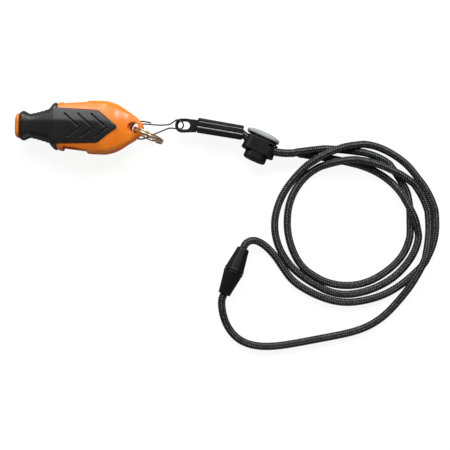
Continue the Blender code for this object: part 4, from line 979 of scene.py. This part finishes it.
CORD_B = [
    (121.0, -11.0, 3.4), (126.8, -11.4, 2.1), (133.4, -12.4, LOW), (142.3, -13.8, LOW), (150.0, -15.1, LOW),
    (157.8, -17.3, LOW), (165.5, -20.9, LOW), (172.6, -26.3, 2.3), (177.3, -32.3, 4.6), (181.0, -38.8, HIGH), (184.3, -45.0, 4.8),
    (186.8, -52.3, LOW), (185.3, -61.2, LOW), (180.9, -69.2, LOW), (173.8, -76.9, LOW), (165.4, -82.3, LOW),
    (156.7, -85.7, LOW), (147.2, -87.2, LOW), (137.9, -85.7, LOW), (128.6, -81.0, LOW), (119.6, -74.9, LOW),
    (112.8, -66.8, LOW), (108.9, -57.9, LOW), (107.8, -48.8, LOW), (109.2, -40.4, LOW), (112.9, -31.6, LOW),
    (118.5, -23.7, 2.6), (124.8, -17.2, 4.4), (130.7, -12.6, HIGH), (137.5, -8.9, HIGH), (144.6, -6.6, HIGH),
    (153.0, -4.6, 3.6), (162.6, -5.4, LOW), (171.8, -9.4, LOW), (180.2, -15.5, LOW), (186.8, -23.6, LOW),
    (191.9, -31.7, LOW), (195.2, -41.0, LOW), (196.1, -50.9, LOW), (194.6, -59.8, LOW), (191.0, -67.8, LOW),
    (184.4, -75.2, LOW), (177.3, -81.3, LOW), (168.6, -86.6, LOW), (158.7, -90.0, LOW), (148.3, -91.5, LOW),
    (138.0, -90.2, LOW), (126.4, -85.6, LOW), (117.2, -79.1, LOW), (110.4, -69.9, LOW), (105.2, -63.9, LOW),
    (100.2, -60.2, 2.6), (95.4, -59.3, 4.2), barrel_point(-HALF - 2.3, 5.4), barrel_point(-HALF + 1.0), barrel_point(-HALF + 6.6),
]
TAIL_HINGE = np.array([158.6, -104.8, CORD_R + 0.05])


def spread(paths, rounds=160):
    """Moves the strands apart until their centre lines are STRAND_STEP from each other, each end staying where it is."""
    sizes = [len(p) for p in paths]
    points = np.concatenate(paths)
    owner = np.repeat(np.arange(len(paths)), sizes)
    order = np.concatenate([np.arange(n) for n in sizes])
    fixed = np.concatenate([(np.arange(n) < 2) | (np.arange(n) >= n - 14) for n in sizes])
    apart = (owner[:, None] != owner[None, :]) | (np.abs(order[:, None] - order[None, :]) > 12)
    for _ in range(rounds):
        gap = points[:, None, :] - points[None, :, :]
        far = np.sqrt((gap ** 2).sum(axis=2)) + 1e-9
        close = apart & (far < STRAND_STEP + 0.06)
        push = np.where(close, (STRAND_STEP + 0.06 - far) / far, 0.0)[:, :, None] * gap
        count = np.maximum(close.sum(axis=1), 1)[:, None]
        move = 0.5 * push.sum(axis=1) / count
        move[fixed] = 0
        points = points + move
        for k, n in enumerate(sizes):
            at = sum(sizes[:k])
            part = points[at:at + n]
            smooth = part.copy()
            smooth[1:-1] = 0.25 * part[:-2] + 0.5 * part[1:-1] + 0.25 * part[2:]
            moved = np.abs(move[at:at + n]).sum(axis=1) > 1e-6
            near = np.convolve(moved.astype(float), np.ones(9), "same") > 0
            near &= ~fixed[at:at + n]
            part[near] = 0.6 * part[near] + 0.4 * smooth[near]
        points[:, 2] = np.maximum(points[:, 2], LOW)
    return np.split(points, np.cumsum(sizes)[:-1])


BRAID_CARRIERS = 8             # strands each way round the cord
BRAID_PITCH = 1.25             # along the cord, from one crossing to the next
BRAID_SIDES, BRAID_STEP = 50, 0.2
BRAID_LOW, BRAID_RISE = 1.76, 0.22


def braid_pattern(theta, s):
    """Relief of a two-over, two-under braid at an angle and a length: (rise, crown)."""
    a = BRAID_CARRIERS * theta / (2 * math.pi) + s / BRAID_PITCH
    b = BRAID_CARRIERS * theta / (2 * math.pi) - s / BRAID_PITCH
    ia, ib = np.floor(a), np.floor(b)
    fa, fb = a - ia, b - ib
    phase = np.mod(ia + ib, 4)
    over = phase < 2
    across = np.where(over, fa, fb)
    along = np.where(over, (phase + fb) / 2, (phase - 2 + fa) / 2)
    bulge = np.clip(1 - (2 * across - 1) ** 2, 0, 1) ** 0.6
    arch = 0.55 + 0.45 * np.sin(math.pi * np.clip(along, 0, 1))
    return bulge * arch


def braided(path, axes, lengths, name, swell):
    """A braided cord over a stretch of a longer path, so that neighbouring stretches carry on the same pattern."""
    count = len(path)
    theta = 2 * math.pi * np.arange(BRAID_SIDES) / BRAID_SIDES
    relief = braid_pattern(theta[None, :], lengths[:, None])
    radius = BRAID_LOW + swell[:, None] + BRAID_RISE * relief
    normal = np.array([a[1] for a in axes])
    binormal = np.array([a[2] for a in axes])
    out = np.cos(theta)[None, :, None] * normal[:, None, :] + np.sin(theta)[None, :, None] * binormal[:, None, :]
    points = (path[:, None, :] + radius[:, :, None] * out).reshape(-1, 3)
    i = np.arange(count - 1)[:, None] * BRAID_SIDES
    j = np.arange(BRAID_SIDES)[None, :]
    k = (j + 1) % BRAID_SIDES
    quads = np.stack([i + j, i + k, i + BRAID_SIDES + k, i + BRAID_SIDES + j], axis=2).reshape(-1, 4)
    mesh = bpy.data.meshes.new(name)
    ends = [tuple(range(BRAID_SIDES))[::-1], tuple((count - 1) * BRAID_SIDES + n for n in range(BRAID_SIDES))]
    mesh.from_pydata(points.tolist(), [], quads.tolist() + ends)
    made = bmesh.new()
    made.from_mesh(mesh)
    bmesh.ops.recalc_face_normals(made, faces=made.faces)
    made.to_mesh(mesh)
    made.free()
    crown = mesh.attributes.new("crown", "FLOAT", "POINT")
    crown.data.foreach_set("value", relief.reshape(-1).astype(np.float32))
    layer = mesh.uv_layers.new(name="lay")
    loops = np.empty(len(mesh.loops), np.int32)
    mesh.loops.foreach_get("vertex_index", loops)
    turn, length = loops % BRAID_SIDES, lengths[np.minimum(loops // BRAID_SIDES, count - 1)]
    share = turn / BRAID_SIDES
    starts = np.empty(len(mesh.polygons), np.int32)
    totals = np.empty(len(mesh.polygons), np.int32)
    mesh.polygons.foreach_get("loop_start", starts)
    mesh.polygons.foreach_get("loop_total", totals)
    for start in starts[totals == 4][(turn[starts[totals == 4]] == 0) | (turn[starts[totals == 4]] == BRAID_SIDES - 1)]:
        if turn[start:start + 4].max() == BRAID_SIDES - 1:
            share[start:start + 4] = np.where(turn[start:start + 4] == 0, 1.0, share[start:start + 4])
    layer.data.foreach_set("uv", np.stack([share * BRAID_CARRIERS, length / BRAID_PITCH], axis=1).astype(np.float32).reshape(-1))
    obj = bpy.data.objects.new(name, mesh)
    bpy.context.scene.collection.objects.link(obj)
    return piece(obj, name, BRAID)


path_a, path_b = spread([spline(CORD_A, 1.3), spline(CORD_B, 1.3)])
hinge_point = path_a[int(np.argmin(np.linalg.norm(path_a - TAIL_HINGE, axis=1)))].copy()
for (letter, up, end), path in zip(LEADERS, (path_a, path_b)):
    lead = resample(leader_path(up, end), 1.3)
    whole = spline(np.concatenate([lead[:-1], path]), BRAID_STEP, 16)
    lengths = np.concatenate([[0], np.cumsum(np.linalg.norm(np.diff(whole, axis=0), axis=1))])
    axes = frames(whole)
    first = int(np.argmax(whole[:, 0] > 126.6))          # past the leader's bend
    swell = 0.12 * np.clip((lengths - lengths[first] + 8.0) / 8.0, 0, 1)       # the cord is pinched inside the lock

    def stretch(i, j, name):
        return braided(whole[i:j + 1], axes[i:j + 1], lengths[i:j + 1], name, swell[i:j + 1])

    leader = stretch(0, first, "braid_%s_leader" % letter)
    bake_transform(leader)
    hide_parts("cord_%s_leader" % letter)
    if letter == "a":
        turn_at = int(np.argmin(np.linalg.norm(whole - hinge_point, axis=1)))
        reach = int(round(6.0 / BRAID_STEP))
        round_coil = stretch(first, turn_at - reach, "braid_a_coil")
        tail = stretch(turn_at - reach, len(whole) - 1, "braid_a_tail")
        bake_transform(tail)
        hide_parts("cord_a_tail")
    else:
        round_coil = stretch(first, len(whole) - 1, "braid_b_coil")
    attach(round_coil, "coil")
    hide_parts("cord_%s_coil" % letter)

# ---------------------------------------------------------------- floor, light and camera
floor_mesh = bpy.data.meshes.new("floor")
floor_mesh.from_pydata([(-3, -3, 0), (3, -3, 0), (3, 3, 0), (-3, 3, 0)], [], [(0, 1, 2, 3)])
floor = bpy.data.objects.new("floor", floor_mesh)
floor.location = (0.08, -0.05, -0.0002)
bpy.context.scene.collection.objects.link(floor)
paper = Nodes("pale_floor")
seen = paper.add("ShaderNodeLightPath", 0)
tone = paper.ramp(paper.noise(paper.where(), 6, 2), (0.3, 0.15), (0.7, 0.16))
tone = paper.blend(seen, (0.42, 0.42, 0.42, 1), tone)
glow = paper.span(seen, 0.0, 1.0, 0.0, 0.91)
floor.data.materials.append(paper.surface(Base_Color=tone, Roughness=0.95, Specular_IOR_Level=0.0,
                                          Emission_Color=(1, 1, 1, 1), Emission_Strength=glow))

world = bpy.data.worlds.new("studio")
bpy.context.scene.world = world
world.use_nodes = True
tree = world.node_tree
background = tree.nodes["Background"]
rays = tree.nodes.new("ShaderNodeLightPath")
level = tree.nodes.new("ShaderNodeMapRange")
level.inputs["To Min"].default_value = 0.12
level.inputs["To Max"].default_value = 1.0
tree.links.new(rays.outputs["Is Camera Ray"], level.inputs["Value"])
tree.links.new(level.outputs[0], background.inputs["Strength"])
background.inputs["Color"].default_value = (1, 1, 1, 1)

middle = Vector((0.081, -0.045, 0.008))


def softbox(name, direction, distance, size, watts, warm=(1, 1, 1)):
    data = bpy.data.lights.new(name, "AREA")
    data.shape = "RECTANGLE"
    data.size, data.size_y = size
    data.energy = watts
    data.color = warm
    obj = bpy.data.objects.new(name, data)
    bpy.context.scene.collection.objects.link(obj)
    towards = Vector(direction).normalized()
    obj.location = middle + towards * distance
    obj.rotation_mode = "QUATERNION"
    obj.rotation_quaternion = towards.to_track_quat("Z", "Y")
    return obj


softbox("key", (-0.28, 0.78, 0.62), 1.0, (0.6, 0.4), 7.6)
softbox("crest", (0.0, 0.56, 0.83), 1.0, (0.32, 0.22), 0.75)
softbox("neck", (-0.42, 0.50, 0.76), 1.0, (0.32, 0.24), 0.75)
softbox("kicker", (0.47, 0.72, 0.62), 1.0, (0.2, 0.2), 5.4)
softbox("skirt", (0.15, -0.95, 0.24), 1.0, (0.8, 0.25), 1.8)

EL, AZ = math.radians(85.5), math.radians(1.5)
back = Vector((math.sin(AZ) * math.cos(EL), -math.cos(AZ) * math.cos(EL), math.sin(EL)))
right = Vector((math.cos(AZ), math.sin(AZ), 0.0))
up = back.cross(right)
target = Vector((0.080571, -0.050809, 0.0))
camera_data = bpy.data.cameras.new("camera")
camera_data.lens = 100.0
camera_data.sensor_width = 36.0
camera_data.clip_start, camera_data.clip_end = 0.01, 20.0
camera = bpy.data.objects.new("camera", camera_data)
bpy.context.scene.collection.objects.link(camera)
turn = Matrix((right, up, back)).transposed().to_4x4()
turn.translation = target + back * 0.6875
camera.matrix_world = turn
bpy.context.scene.camera = camera
bpy.context.scene.view_settings.view_transform = "Standard"
